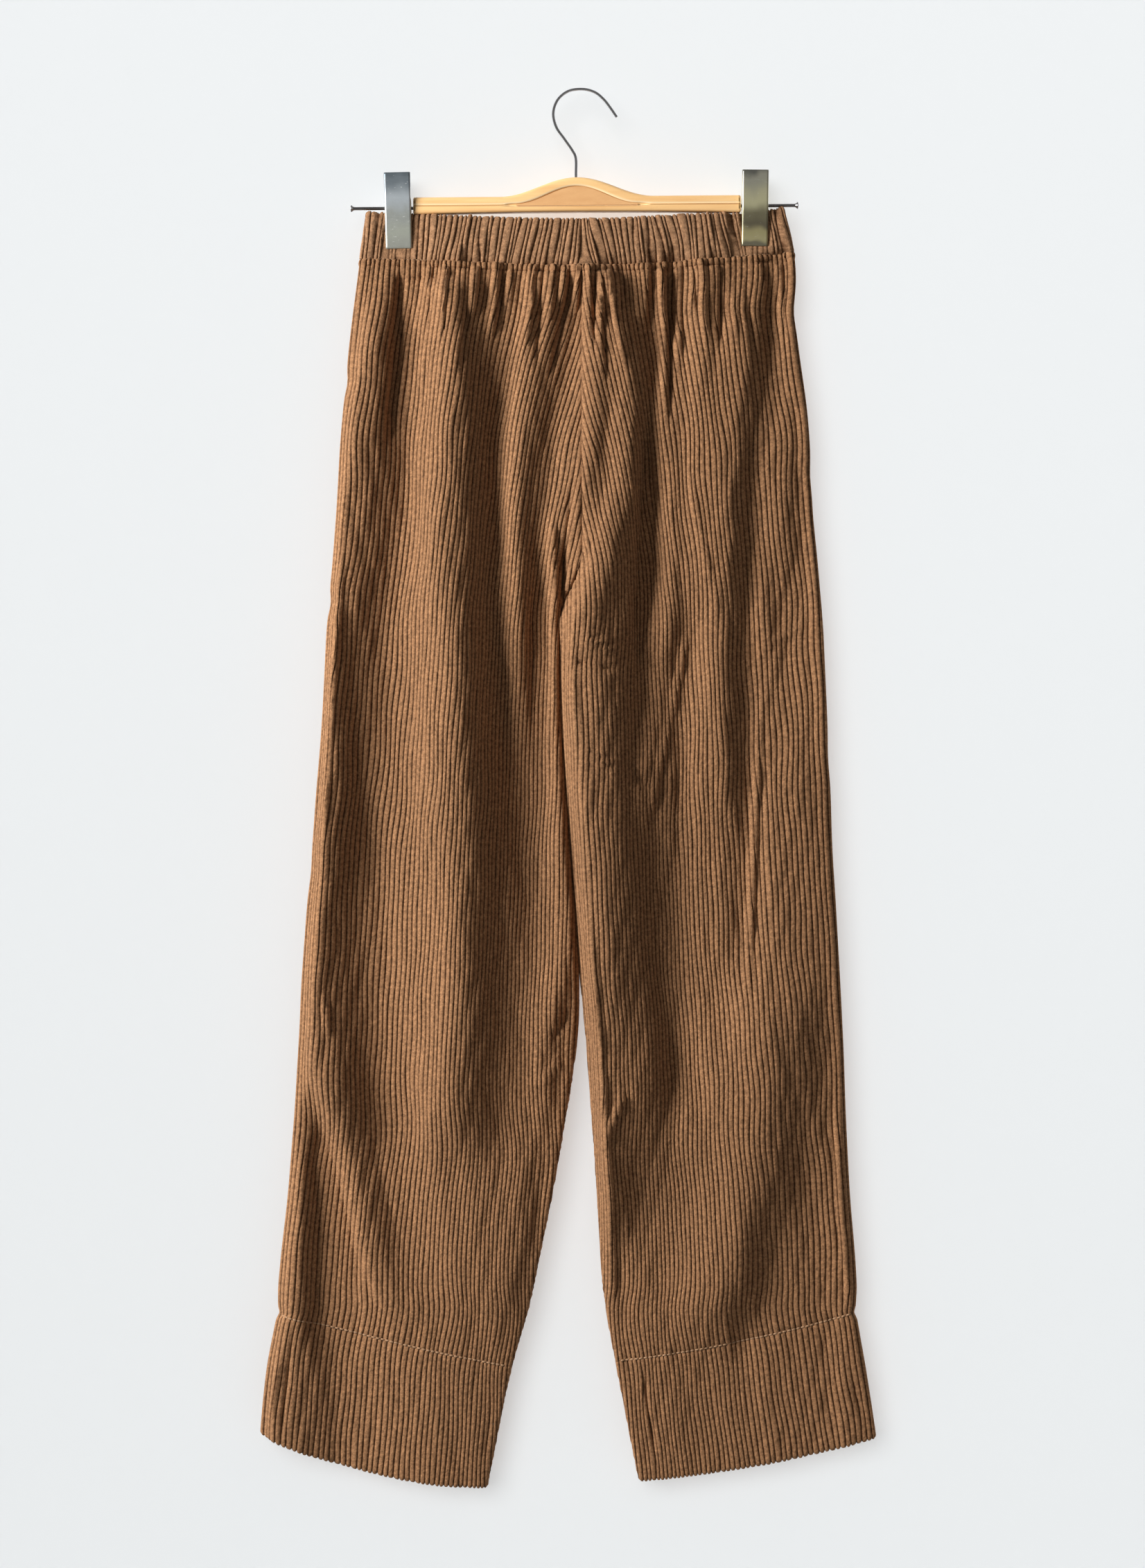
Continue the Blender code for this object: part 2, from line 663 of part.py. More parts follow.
def side_solid(name, outline, width):
    """A mesh of an outline in Y and Z, extruded along X."""
    mesh = outline_solid(name, outline, width)
    bm = bmesh.new()
    bm.from_mesh(mesh)
    for vert in bm.verts:
        vert.co = (-vert.co.y, vert.co.x, vert.co.z)
    bmesh.ops.recalc_face_normals(bm, faces=bm.faces)
    bm.to_mesh(mesh)
    bm.free()
    return mesh


def build_clip(side, frame, finishes, parts, cutters):
    """Two pressed steel halves that turn on the rod, with the spring between them."""
    hinge = bpy.data.objects.new(f"clip_{side}_hinge", None)
    parts.objects.link(hinge)
    hinge.parent = frame
    hinge.location = ((CLIP_X[side] - BAR_CENTRE[0]) * MM, 0, 0)
    hinge.rotation_euler.y = math.radians(CLIP_LEAN[side] - BAR_TILT)
    nest = 2 * (CLIP_PLATE + GAP)  # the front half sits inside the back half's flanges
    for face, out, width in (("back", -1, CLIP_WIDTH), ("front", 1, CLIP_WIDTH - nest)):
        half = add_object(
            f"clip_{side}_{face}", side_solid("clip_half", clip_profile(out), width), finishes["clip"], parts
        )
        half.parent = hinge
        hollow = side_solid(f"clip_{side}_{face}_hollow", clip_hollow(out), width - 2 * CLIP_PLATE)
        add_cut(half, hollow, (0, 0, 0), cutters, hinge)
        bore = cylinder_mesh(f"clip_{side}_{face}_bore", ROD_RADIUS + GAP, 2 * CLIP_WIDTH, "X")
        add_cut(half, bore, (0, 0, 0), cutters, hinge)
    build_spring(side, hinge, finishes["rod"], parts)


def build_spring(side, hinge, finish, collection):
    """The coil spring's body: a turned ring round the rod."""
    half = SPRING_LENGTH / 2
    mesh = bpy.data.meshes.new(f"clip_{side}_spring")
    corners = ((SPRING_RADIUS, half), (SPRING_RADIUS, -half), (SPRING_BORE, -half), (SPRING_BORE, half))
    bm = bmesh.new()
    ring = [bm.verts.new((radius * MM, 0, along * MM)) for radius, along in corners]
    for i in range(4):
        bm.edges.new((ring[i], ring[(i + 1) % 4]))
    bm.to_mesh(mesh)
    bm.free()
    spring = add_object(f"clip_{side}_spring", mesh, finish, collection)
    turn = spring.modifiers.new("turn", "SCREW")
    turn.steps = turn.render_steps = ROUND_STEPS
    turn.use_merge_vertices = True
    turn.merge_threshold = WELD
    spring.rotation_euler.y = math.radians(90)
    spring.parent = hinge


# ---------------------------------------------------------------- assembly
def main():
    """Builds the trousers and the hanger."""
    clear_scene()
    parts = new_collection("trousers_on_clip_hanger")
    cutters = new_collection("cutters")
    finishes = {
        "cloth": material("corduroy", CLOTH_COLOUR, 0.95),
        "band": material("waist_corduroy", BAND_COLOUR, 0.95),
        "wood": material("beech", WOOD_COLOUR, 0.45),
        "inlay": material("beech_inlay", INLAY_COLOUR, 0.6),
        "clip": material("clip_steel", CLIP_COLOUR, 0.28, 1.0),
        "wire": material("bright_wire", WIRE_COLOUR, 0.12, 1.0),
        "rod": material("dark_steel", ROD_COLOUR, 0.35, 1.0),
    }
    for face in FACES:
        for leg in CLIP_X:
            build_leg_panel(face, leg, finishes["cloth"], parts)
            build_hem(face, leg, finishes["cloth"], parts)
        build_waistband(face, finishes["band"], parts)
    frame = bpy.data.objects.new("hanger_frame", None)
    parts.objects.link(frame)
    frame.location = Vector(BAR_CENTRE) * MM
    frame.rotation_euler.y = math.radians(BAR_TILT)
    build_bar(frame, finishes, parts, cutters)
    build_hook(finishes["wire"], parts)
    build_rods(frame, finishes["rod"], parts)
    for side in CLIP_X:
        build_clip(side, frame, finishes, parts, cutters)


main()
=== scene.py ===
"""Looks of wide-wale corduroy pull-on trousers that hang by the waist from a wooden clip hanger.

The trousers are seen from the back, which faces -Y. Sizes are in millimetres and become metres as a mesh is
made. The origin is the inside of the hook's top, +Z is up and +X is to the right as seen from -Y. Each cloth
piece is a wall whose columns follow the wales, so that the ridges are real and run beside the side seam.
"""

import json
import logging
import math
from dataclasses import dataclass, field
from enum import Enum
from typing import NamedTuple

import bmesh
import bpy
import numpy as np
from mathutils import Matrix, Vector

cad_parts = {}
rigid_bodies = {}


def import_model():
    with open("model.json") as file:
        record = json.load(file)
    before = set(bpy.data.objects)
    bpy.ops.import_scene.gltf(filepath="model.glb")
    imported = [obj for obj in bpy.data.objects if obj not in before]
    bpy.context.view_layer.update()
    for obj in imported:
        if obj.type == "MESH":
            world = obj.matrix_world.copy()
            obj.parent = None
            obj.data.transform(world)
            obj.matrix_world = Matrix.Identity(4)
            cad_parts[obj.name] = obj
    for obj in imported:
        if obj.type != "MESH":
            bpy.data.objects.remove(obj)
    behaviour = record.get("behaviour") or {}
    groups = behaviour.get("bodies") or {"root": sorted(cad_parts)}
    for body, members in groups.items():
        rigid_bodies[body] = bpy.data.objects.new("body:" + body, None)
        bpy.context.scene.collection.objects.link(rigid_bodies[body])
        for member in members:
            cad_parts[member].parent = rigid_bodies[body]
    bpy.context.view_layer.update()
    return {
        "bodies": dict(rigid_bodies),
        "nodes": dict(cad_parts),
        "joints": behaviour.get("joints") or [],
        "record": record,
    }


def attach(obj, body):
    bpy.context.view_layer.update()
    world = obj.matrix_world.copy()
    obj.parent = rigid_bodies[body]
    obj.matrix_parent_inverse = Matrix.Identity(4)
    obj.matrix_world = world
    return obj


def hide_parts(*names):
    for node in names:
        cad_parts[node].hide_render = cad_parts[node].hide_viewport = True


log = logging.getLogger("trousers")

MM = 0.001  # metres in a millimetre
WELD = 2e-6  # metres
TINY = 1e-9  # the least length that a direction is divided by
ROOT = "root"

Array = np.ndarray
Pair = tuple[float, float]
Triple = tuple[float, float, float]
Colour = tuple[float, float, float, float]
Steps = tuple[float, ...]
Item = bpy.types.Object
Material = bpy.types.Material
Socket = bpy.types.NodeSocket


class Side(Enum):
    """A side of the trousers, whose value is its direction along an axis."""

    @property
    def word(self) -> str:
        """The side's name in lower case."""
        return self.name.lower()


class Face(Side):
    """The two faces of the trousers, by the direction in Y that they look."""

    BACK = -1
    FRONT = 1


class Leg(Side):
    """The two legs, by the side on which they are seen from -Y."""

    LEFT = -1
    RIGHT = 1


# ---------------------------------------------------------------- the cut and hang of the trousers
GAP = 0.3  # between pieces that are sewn together
CLOTH = 1.8  # the thickness of a leg's wall
HEM_CLOTH = 3.4  # of a hem's layers
BAND_CLOTH = 3.4  # of the waistband's casing with its elastic
EDGE_POWER = 3.2  # how squarely the hanging cloth turns round its edges
EDGE_FADE = 0.11  # the share of half a panel's width over which folds and creases end at an edge
CLIP_X = {Leg.LEFT: -144.8, Leg.RIGHT: 133.0}
CLIP_HALF = 10.5
CLIP_GRIP = 5.0  # half the depth of the cloth between the jaws
CLIP_GRIP_REACH = (17.0, 32.0)  # to each side of a clip: how far the cloth is flat, and where it is free
CLIP_GRIP_LEVELS = (-126.0, -200.0)  # the lowest level at which it is flat, and where it is free
FOLD_RISE = 70.0  # over what height a fold grows from nothing
GATHER_RISE = 12.0  # the same for a fold that starts above GATHER_LEVEL, at the waist
GATHER_LEVEL = -160.0
BEADS = 5.6  # height of the row of beads that the stitches make of the wales under the waistband


class Section(NamedTuple):
    """One level of the trousers: where the edges lie, half the depth, and how far the legs are one tube."""

    z: float
    outer_left: float
    outer_right: float
    inner_left: float
    inner_right: float
    half_depth: float
    joined: float


SECTIONS = (
    Section(-90, -169, 155, -1.8, -1.8, 9, 1),
    Section(-132, -174, 163.6, -1.8, -1.8, 9.6, 1),
    Section(-190, -181, 165, -1.8, -1.8, 12.5, 1),
    Section(-250, -187, 173, -1.8, -1.8, 13, 1),
    Section(-330, -192.3, 177.5, -1.8, -1.8, 13, 1),
    Section(-366, -195, 181, -1.8, -1.8, 12.5, 0.75),
    Section(-386, -196.8, 182.7, -9, -9, 12.2, 0.35),
    Section(-408, -198.6, 184.5, -18.6, -18.6, 11.8, 0),
    Section(-430, -200.2, 186, -19, -19, 12, 0),
    Section(-500, -204, 189.2, -17.4, -17.4, 12, 0),
    Section(-600, -212, 193.3, -10, -10, 12, 0),
    Section(-690, -219, 198.5, -4, -3, 12, 0),
    Section(-740, -221.4, 201, -5.4, 1.6, 12, 0),
    Section(-830, -227.3, 204.5, -19.2, 8.2, 12, 0),
    Section(-930, -237.3, 211.6, -38.8, 14.6, 11, 0),
    Section(-950, -238.2, 211.4, -43.4, 17.2, 10.8, 0),
    Section(-1000, -247.2, 219.6, -57.4, 26.4, 9.8, 0),
    Section(-1090, -255, 233, -75.6, 44, 8.5, 0),
)


class BandLine(NamedTuple):
    """Where the waistband's top edge and its lower stitch line lie at one place along it."""

    x: float
    top: float
    bottom: float


BAND = (
    BandLine(-174, -95.9, -131.6),
    BandLine(-130, -97.9, -132.6),
    BandLine(-2, -101.3, -137),
    BandLine(100, -97.1, -131.4),
    BandLine(142, -96.2, -127.9),
    BandLine(164, -91.7, -125.6),
)


class HemLine(NamedTuple):
    """The heights of one line round a leg at its outer edge, its middle and its inner edge."""

    outer: float
    middle: float
    inner: float

    def height(self, across: Array) -> Array:
        """The line's height along it.

        Args:
            across: From -1 at the outer edge to 1 at the inner edge.

        Returns:
            The height at each place.
        """
        slope = (self.inner - self.outer) / 2
        bow = (self.inner + self.outer) / 2 - self.middle
        return self.middle + slope * across + bow * across**2


HEM_STITCH = {Leg.LEFT: HemLine(-953, -975, -994), Leg.RIGHT: HemLine(-952, -974.5, -989.5)}
HEM_EDGE = {Leg.LEFT: HemLine(-1046, -1077, -1087.5), Leg.RIGHT: HemLine(-1049, -1070.5, -1082.5)}


def ease(share: Array) -> Array:
    """A smooth step from 0 to 1."""
    share = np.clip(share, 0.0, 1.0)
    return share * share * (3.0 - 2.0 * share)


def bulge(off: Array, left: float, right: float) -> Array:
    """A smooth ridge's height beside its crest.

    Args:
        off: How far each place lies from the crest, below zero to its left.
        left: How far the left flank reaches.
        right: How far the right flank reaches.

    Returns:
        From 1 on the crest to 0 past the flanks.
    """
    off = np.clip(off / np.where(off < 0, left, right), -1, 1)
    return np.cos(off * math.pi / 2) ** 2


class Fold(NamedTuple):
    """A soft ridge that runs down the cloth, or a trough where its height is below zero.

    Its line's x is given at its top, halfway and at its bottom, and then how far its two flanks reach.
    """

    top: float
    bottom: float
    x_top: float
    x_mid: float
    x_bottom: float
    height: float
    left: float
    right: float

    def lift(self, x: Array, z: Array) -> Array:
        """How far this fold lifts the cloth.

        Args:
            x: The x of each place.
            z: Its height.

        Returns:
            The lift at each place.
        """
        down = (z - self.top) / (self.bottom - self.top)
        crest = (
            self.x_top * (1 - down) * (1 - 2 * down)
            + self.x_mid * 4 * down * (1 - down)
            + self.x_bottom * down * (2 * down - 1)
        )
        rise = GATHER_RISE if self.top > GATHER_LEVEL else FOLD_RISE
        fade = ease((self.top + GATHER_RISE - z) / rise) * ease((z - self.bottom) / FOLD_RISE)
        return self.height * fade * bulge(x - crest, self.left, self.right)


FOLDS = {
    Face.BACK: (
        Fold(-133, -720, 151, 130, 125, -5.5, 23, 22),
        Fold(-133, -458, 66, 61, 45, -5, 26, 28),
        Fold(-138, -255, 27, 45, 48, -3, 15, 24),
        Fold(-142, -649, -155, -197, -208, 5.5, 14, 30),
        Fold(-142, -361, 1, 7, -8, 6, 15, 16),
        Fold(-145, -666, 8, -44, -37, -3, 25, 18),
        Fold(-145, -450, 17, 30, -23, 6, 29, 26),
        Fold(-149, -423, -32, -54, -49, 3, 14, 32),
        Fold(-150, -477, -132, -140, -165, -7, 30, 34),
        Fold(-157, -850, -109, -104, -102, 10, 36, 43),
        Fold(-194, -560, -66, -71, -67, -5.8, 24, 22),
        Fold(-196, -552, 166, 170, 176, -2.5, 27, 18),
        Fold(-266, -545, 51, 53, 37, -4, 18, 16),
        Fold(-278, -613, -217, -200, -189, 4, 23, 22),
        Fold(-314, -879, 16, 26, 46, 6.5, 55, 30),
        Fold(-320, -717, -36, -30, -15, -2.5, 15, 17),
        Fold(-344, -726, -9, -39, -31, -4, 35, 22),
        Fold(-349, -568, 153, 150, 144, -3.5, 17, 24),
        Fold(-376, -931, -13, 7, 5, 9.5, 24, 40),
        Fold(-387, -827, 84, 70, 88, -6, 32, 24),
        Fold(-391, -790, -87, -88, -87, 3.5, 32, 26),
        Fold(-422, -958, -146, -161, -124, -6, 38, 36),
        Fold(-547, -776, 93, 97, 108, -4, 25, 29),
        Fold(-550, -830, -199, -210, -185, 6.5, 22, 40),
        Fold(-603, -848, -204, -216, -225, 4, 15, 20),
        Fold(-684, -994, 147, 130, 89, 8.5, 55, 45),
        Fold(-694, -833, 56, 50, 40, 2.5, 24, 20),
        Fold(-723, -987, -214, -183, -139, 4.5, 11, 35),
        Fold(-781, -1019, -211, -192, -195, -4, 28, 24),
        Fold(-794, -1007, -204, -208, -210, -3.5, 14, 21),
    ),
    Face.FRONT: (
        Fold(-134, -480, -160, -168, -184, 4, 15, 22),
        Fold(-140, -620, -118, -112, -118, 7.5, 30, 32),
        Fold(-560, -990, -140, -128, -92, 7, 36, 30),
        Fold(-132, -430, -70, -74, -66, 4.5, 18, 17),
        Fold(-134, -400, -24, -34, -26, 5.5, 16, 18),
        Fold(-134, -400, 28, 30, 10, 6, 16, 16),
        Fold(-132, -330, 68, 66, 60, 4, 16, 14),
        Fold(-150, -700, 104, 108, 112, 8, 32, 34),
        Fold(-650, -1000, 118, 128, 142, 6, 32, 32),
        Fold(-134, -560, 146, 152, 160, 4.5, 18, 20),
        Fold(-430, -860, 18, 24, 44, 4.5, 22, 24),
        Fold(-420, -800, -196, -201, -209, 3.5, 14, 18),
        Fold(-430, -800, -36, -34, -48, 4.5, 24, 18),
        Fold(-740, -1000, 196, 194, 200, 3, 14, 14),
    ),
}


# Smaller folds than the solids have.
SMALL_FOLDS = {
    Face.BACK: (
        Fold(-128, -296, -98, -97, -91, 1.6, 17, 10),
        Fold(-128, -217, 112, 117, 113, 1.5, 7, 13),
        Fold(-131, -278, 90, 92, 77, 1.1, 20, 14),
        Fold(-132, -284, 61, 62, 59, 2.5, 6, 7),
        Fold(-152, -432, 133, 113, 99, 1.9, 28, 22),
        Fold(-183, -414, 76, 93, 101, 1.7, 16, 28),
        Fold(-268, -628, -184, -196, -206, 4, 9, 6),
        Fold(-330, -601, 109, 106, 121, 1.9, 21, 25),
        Fold(-402, -746, -26, -19, -6, -0.7, 5, 5),
        Fold(-435, -770, -23, -4, -40, 2, 19, 14),
        Fold(-608, -947, -53, -44, -20, -1.5, 20, 24),
        Fold(-618, -930, 183, 192, 208, -0.7, 17, 15),
        Fold(-623, -976, -2, 12, 21, 4.5, 16, 10),
        Fold(-640, -985, -23, -36, -72, 1.1, 28, 15),
        Fold(-734, -980, -118, -87, -63, 2, 40, 40),
        Fold(-770, -1004, 198, 202, 216, 3, 5, 15),
        Fold(-793, -978, 13, 32, 57, 1.6, 15, 18),
        Fold(-837, -983, -199, -191, -189, -2, 17, 16),
        Fold(-250, -470, -54, -52, -50, 1.2, 13, 15),
        Fold(-370, -530, -49, -48, -46, 3.2, 14, 10),
        Fold(-430, -720, -15, -11, -7, 2.2, 30, 10),
        Fold(-400, -650, -15, -14, -14, 3.6, 22, 12),
        Fold(-280, -620, -116, -117, -118, 2.2, 17, 42),
        Fold(-180, -470, 65, 63, 59, 4.4, 14, 18),
        Fold(-450, -600, 52, 50, 46, 2.4, 14, 12),
        Fold(-480, -630, 67, 66, 64, 2.4, 14, 9),
        Fold(-250, -470, 141, 138, 134, 2.4, 14, 14),
        Fold(-700, -870, 84, 82, 78, 2.4, 16, 30),
        Fold(-235, -470, 47, 46, 37, -6.4, 11, 9),
        Fold(-800, -1230, -226, -240, -250, 5.2, 8, 50),
        Fold(-790, -1230, -196, -182, -178, -4.4, 46, 75),
        Fold(-850, -1020, 148, 134, 122, -2.4, 24, 26),
        Fold(-820, -1230, 180, 188, 192, -2.2, 50, 18),
        Fold(-940, -1230, 106, 103, 100, -2.6, 60, 100),
    ),
    Face.FRONT: (),
}

DEEPER = {Face.BACK: 1.5, Face.FRONT: 1.0}  # how much steeper the cloth's folds are than the solids'
SUNK = {Face.BACK: 1.5, Face.FRONT: 0.0}  # how far the cloth lies back to make room for them
CREASE_FADE = 0.3  # the share of a crease's length over which it grows from nothing
PUCKER_LEVEL = -150.0  # a crease that starts above this is a pucker, which is tall from its top on
PUCKER_RISE = (4.0, 14.0)  # over what length a raised one grows, and a sunk one


class Crease(NamedTuple):
    """A short straight ridge, or a trough where its height is negative, between two places of one face."""

    x_start: float
    z_start: float
    x_end: float
    z_end: float
    height: float
    left: float
    right: float

    def lift(self, x: Array, z: Array) -> Array:
        """How far this crease lifts the cloth.

        Args:
            x: The x of each place.
            z: Its height.

        Returns:
            The lift at each place.
        """
        run = np.array((self.x_end - self.x_start, self.z_end - self.z_start))
        length = float(np.hypot(*run))
        along = ((x - self.x_start) * run[0] + (z - self.z_start) * run[1]) / length**2
        side = ((x - self.x_start) * -run[1] + (z - self.z_start) * run[0]) / length
        start = CREASE_FADE
        if self.z_start > PUCKER_LEVEL:
            start = PUCKER_RISE[self.height < 0] / length
        fade = ease(along / start) * ease((1 - along) / CREASE_FADE)
        return self.height * fade * bulge(side, self.left, self.right)


CREASES = {
    Face.BACK: (
        # the crotch: its pocket, the folded edge left of it and the seam that bounds it on the right
        Crease(-8, -300, -17, -378, -1.6, 3, 4),
        Crease(-16.5, -352, -17.5, -416, -7, 2.6, 5.5),
        Crease(-25, -325, -22, -425, 3, 6, 4),
        Crease(10, -338, -20, -414, 2.2, 3, 3),
        # the puckers under the waistband, from the left
        Crease(-143.5, -126, -153, -290, -5.4, 6, 9),
        Crease(-120, -136, -123, -196, 2.4, 8, 2.6),
        Crease(-107, -136, -111, -206, 2.6, 9, 2.6),
        Crease(-83, -137, -86, -180, 2.6, 7, 3),
        Crease(-90, -160, -95, -222, -2.6, 4, 3.5),
        Crease(-66, -134, -72, -198, 3.4, 8, 3),
        Crease(-62, -138, -66, -176, -1.4, 2.6, 2.6),
        Crease(-57, -138, -60, -186, 1.2, 4, 3),
        Crease(-38, -137, -45, -206, 3, 11, 2.6),
        Crease(-31, -136, -38, -222, -2.4, 3, 3.4),
        Crease(-22, -135, -27, -186, 2.2, 6, 2.4),
        Crease(-14, -138, -18, -176, 2, 5, 2.4),
        Crease(-9, -146, -27, -230, -3, 5, 4),
        Crease(-4, -136, -7, -178, 2.4, 4, 2.2),
        Crease(4, -136, 1, -196, 2, 3, 3),
        Crease(8.5, -138, 8, -212, -4.4, 3.5, 3.4),
        Crease(14, -138, 12, -190, 2.2, 3, 3),
        Crease(15, -170, 18, -232, -2.2, 2.5, 2.5),
        Crease(17, -140, 33, -226, 2.4, 4, 6),
        Crease(27, -137, 32, -176, -1.2, 2.6, 2.6),
        Crease(50, -136, 46, -186, 3, 13, 3),
        Crease(55, -138, 50, -190, -0.8, 3, 3),
        Crease(60, -137, 64, -200, 3.2, 9, 2.6),
        Crease(66, -138, 67, -262, -4.4, 3, 4),
        Crease(74, -134, 73, -222, 2.2, 4, 4),
        Crease(86, -134, 88, -178, -1.6, 2.6, 2.6),
        Crease(92, -132, 95, -206, 1.8, 6, 2.6),
        Crease(106.5, -134, 106, -202, -3.6, 3, 3.4),
        Crease(114, -134, 118, -206, 1.8, 4, 4),
        Crease(124, -133, 132, -222, -2, 3.4, 5),
        Crease(144, -134, 144, -226, -2.4, 5, 4),
        Crease(153, -132, 154, -200, 1.8, 4, 4),
        # lower down
        Crease(80, -296, 98, -388, 1.6, 5, 5),
        Crease(132, -438, 180, -410, 1.3, 5, 4),
        Crease(-8, -424, 30, -438, 2.8, 6, 6),
        Crease(-14, -447, 28, -451, -3, 5, 5),
        Crease(83, -412, 65, -500, 1.6, 6, 4),
        Crease(66, -490, 51, -570, 2, 7, 4),
        Crease(-6, -512, 34, -534, 2.2, 6, 5),
        Crease(30, -524, 52, -548, -1.8, 5, 5),
        Crease(137, -476, 127, -716, 2.6, 6, 4),
        Crease(-28, -742, -6, -712, -1.8, 4, 4),
        Crease(-40, -780, -16, -752, 1.2, 6, 5),
        Crease(33, -776, 14, -822, 2.6, 6, 4),
        Crease(-203, -700, -196, -740, 2, 5, 5),
        Crease(-236, -975, -247, -1050, 2, 5, 4),
        Crease(-226, -960, -236, -1060, -1.4, 4, 4),
        Crease(44, -985, 58, -1078, -1.6, 3, 3),
        Crease(204, -1010, 222, -1030, -1.2, 8, 5),
    ),
    Face.FRONT: (
        Crease(-44, -150, -50, -330, -2.4, 7, 7),
        Crease(50, -140, 48, -300, -2.6, 6, 7),
        Crease(86, -136, 84, -260, -2.2, 6, 6),
        Crease(-96, -134, -92, -240, -2, 6, 6),
        Crease(-22, -352, -60, -380, 2, 6, 6),
        Crease(18, -352, 58, -382, 2, 6, 6),
        Crease(-150, -700, -164, -820, 1.6, 9, 9),
        Crease(70, -560, 66, -700, 1.6, 9, 9),
        Crease(-44, -985, -58, -1078, -1.4, 3, 3),
    ),
}


class Nick(NamedTuple):
    """A small dent of a leg's outer edge: its level, depth and half-length."""

    z: float
    depth: float
    reach: float


NICKS = {
    Leg.LEFT: (Nick(-228, 1.4, 9), Nick(-400, 1.6, 8), Nick(-952, 1.8, 4), Nick(-610, 0.8, 14)),
    Leg.RIGHT: (Nick(-172, 1.8, 14), Nick(-300, 0.8, 12), Nick(-952, 1.8, 4), Nick(-520, 0.8, 16)),
}


class Seam(NamedTuple):
    """How deep a seam draws the cloth in, and how far from it."""

    depth: float
    reach: float

    def pull(self, off: Array) -> Array:
        """How far the cloth is drawn in at a distance from the seam."""
        return self.depth * np.exp(-((off / self.reach) ** 2))


WAIST_SEAM = Seam(1.7, 1.4)
BEADS_FOOT = Seam(1.275, 1.5)
HEM_SEAM = Seam(0.9, 1.8)
CENTRE_SEAM = Seam(1.7, 2.0)


def smooth_curve(places: list[float], rows: list[float], at: Array) -> Array:
    """The smooth curve through values given at places.

    Args:
        places: Where the values lie, in rising or falling order.
        rows: The values.
        at: Where the curve is read.

    Returns:
        The curve's values.
    """
    order, values, at = np.asarray(places, float), np.asarray(rows, float), np.asarray(at, float)
    if order[0] > order[-1]:
        order, at = -order, -at
    at = np.clip(at, order[0], order[-1])
    low = np.clip(np.searchsorted(order, at, side="right") - 1, 0, len(order) - 2)
    before, after = np.maximum(low - 1, 0), np.minimum(low + 2, len(order) - 1)
    span = order[low + 1] - order[low]
    t = (at - order[low]) / span
    start = (values[low + 1] - values[before]) / (order[low + 1] - order[before]) * span
    end = (values[after] - values[low]) / (order[after] - order[low]) * span
    return (
        values[low] * (2 * t**3 - 3 * t**2 + 1)
        + start * (t**3 - 2 * t**2 + t)
        + values[low + 1] * (3 * t**2 - 2 * t**3)
        + end * (t**3 - t**2)
    )


def section_value(column: str, z: Array) -> Array:
    """A column of the table of sections, at any height."""
    return smooth_curve([s.z for s in SECTIONS], [getattr(s, column) for s in SECTIONS], z)


def band_value(column: str, x: Array) -> Array:
    """A column of the waistband's table, at any x."""
    return smooth_curve([b.x for b in BAND], [getattr(b, column) for b in BAND], x)


@dataclass(frozen=True)
class Waves:
    """Soft unevenness as a sum of seeded waves, about 1 at most."""

    seed: int
    across: float
    down: float
    count: int = 7

    def at(self, x: Array, z: Array) -> Array:
        """The unevenness, whose waves are about `across` wide and `down` long.

        Args:
            x: The first coordinate.
            z: The second coordinate.

        Returns:
            Values between about -1 and 1.
        """
        draw = np.random.default_rng(self.seed)
        total = np.zeros(np.broadcast(x, z).shape)
        for _ in range(self.count):
            turn_x = draw.uniform(0.6, 1.5) * 2 * math.pi / self.across * draw.choice((-1, 1))
            turn_z = draw.uniform(0.5, 1.5) * 2 * math.pi / self.down
            total = total + np.sin(x * turn_x + z * turn_z + draw.uniform(0, 2 * math.pi))
        return total / math.sqrt(self.count)


@dataclass(frozen=True)
class Gathers:
    """The small uneven puckers that the elastic draws up under the waistband, and the shoulder they make."""

    seed: int
    spacing: float = 9.0
    tallest: float = 1.5
    reach: Pair = (3.0, 6.0)
    length: Pair = (20.0, 60.0)
    rise: float = 4.0
    spread: float = 0.001  # for each millimetre down, how far a pucker leans out for each millimetre of its x
    shoulder: float = 1.9
    shoulder_rise: float = 3.5
    shoulder_reach: float = 24.0
    shoulder_uneven: float = 0.6
    shoulder_wave: Pair = (17.0, 400.0)

    def lift(self, x: Array, z: Array) -> Array:
        """How far the puckers lift the cloth.

        Args:
            x: The x of each place.
            z: Its height.

        Returns:
            The lift at each place.
        """
        draw = np.random.default_rng(self.seed)
        total = np.zeros(np.broadcast(x, z).shape)
        drop = band_value("bottom", x) - z
        place = BAND[0].x
        while place < BAND[-1].x:
            place += self.spacing * draw.uniform(0.5, 1.5)
            height = self.tallest * draw.uniform(0.25, 1.0)
            reach, length = draw.uniform(*self.reach), draw.uniform(*self.length)
            crest = place + place * self.spread * np.clip(drop, 0, length)
            fade = ease((drop - BEADS) / self.rise) * ease(1 - drop / length)
            total = total + height * fade * bulge(x - crest, reach, reach)
        below = np.maximum(drop - BEADS, 0)
        shoulder = (1 - np.exp(-below / self.shoulder_rise)) * np.exp(-below / self.shoulder_reach)
        uneven = self.shoulder_uneven * Waves(self.seed + 1, *self.shoulder_wave).at(x, z)
        return total + self.shoulder * shoulder * (1 + uneven)


GATHERS_SEED = 11
# The cloth's soft unevenness: seed, height, width and length of its waves, and over what height they begin.
UNEVEN = ((21, 0.45, 34.0, 150.0), (31, 0.3, 15.0, 60.0))
UNEVEN_FROM = 6.0


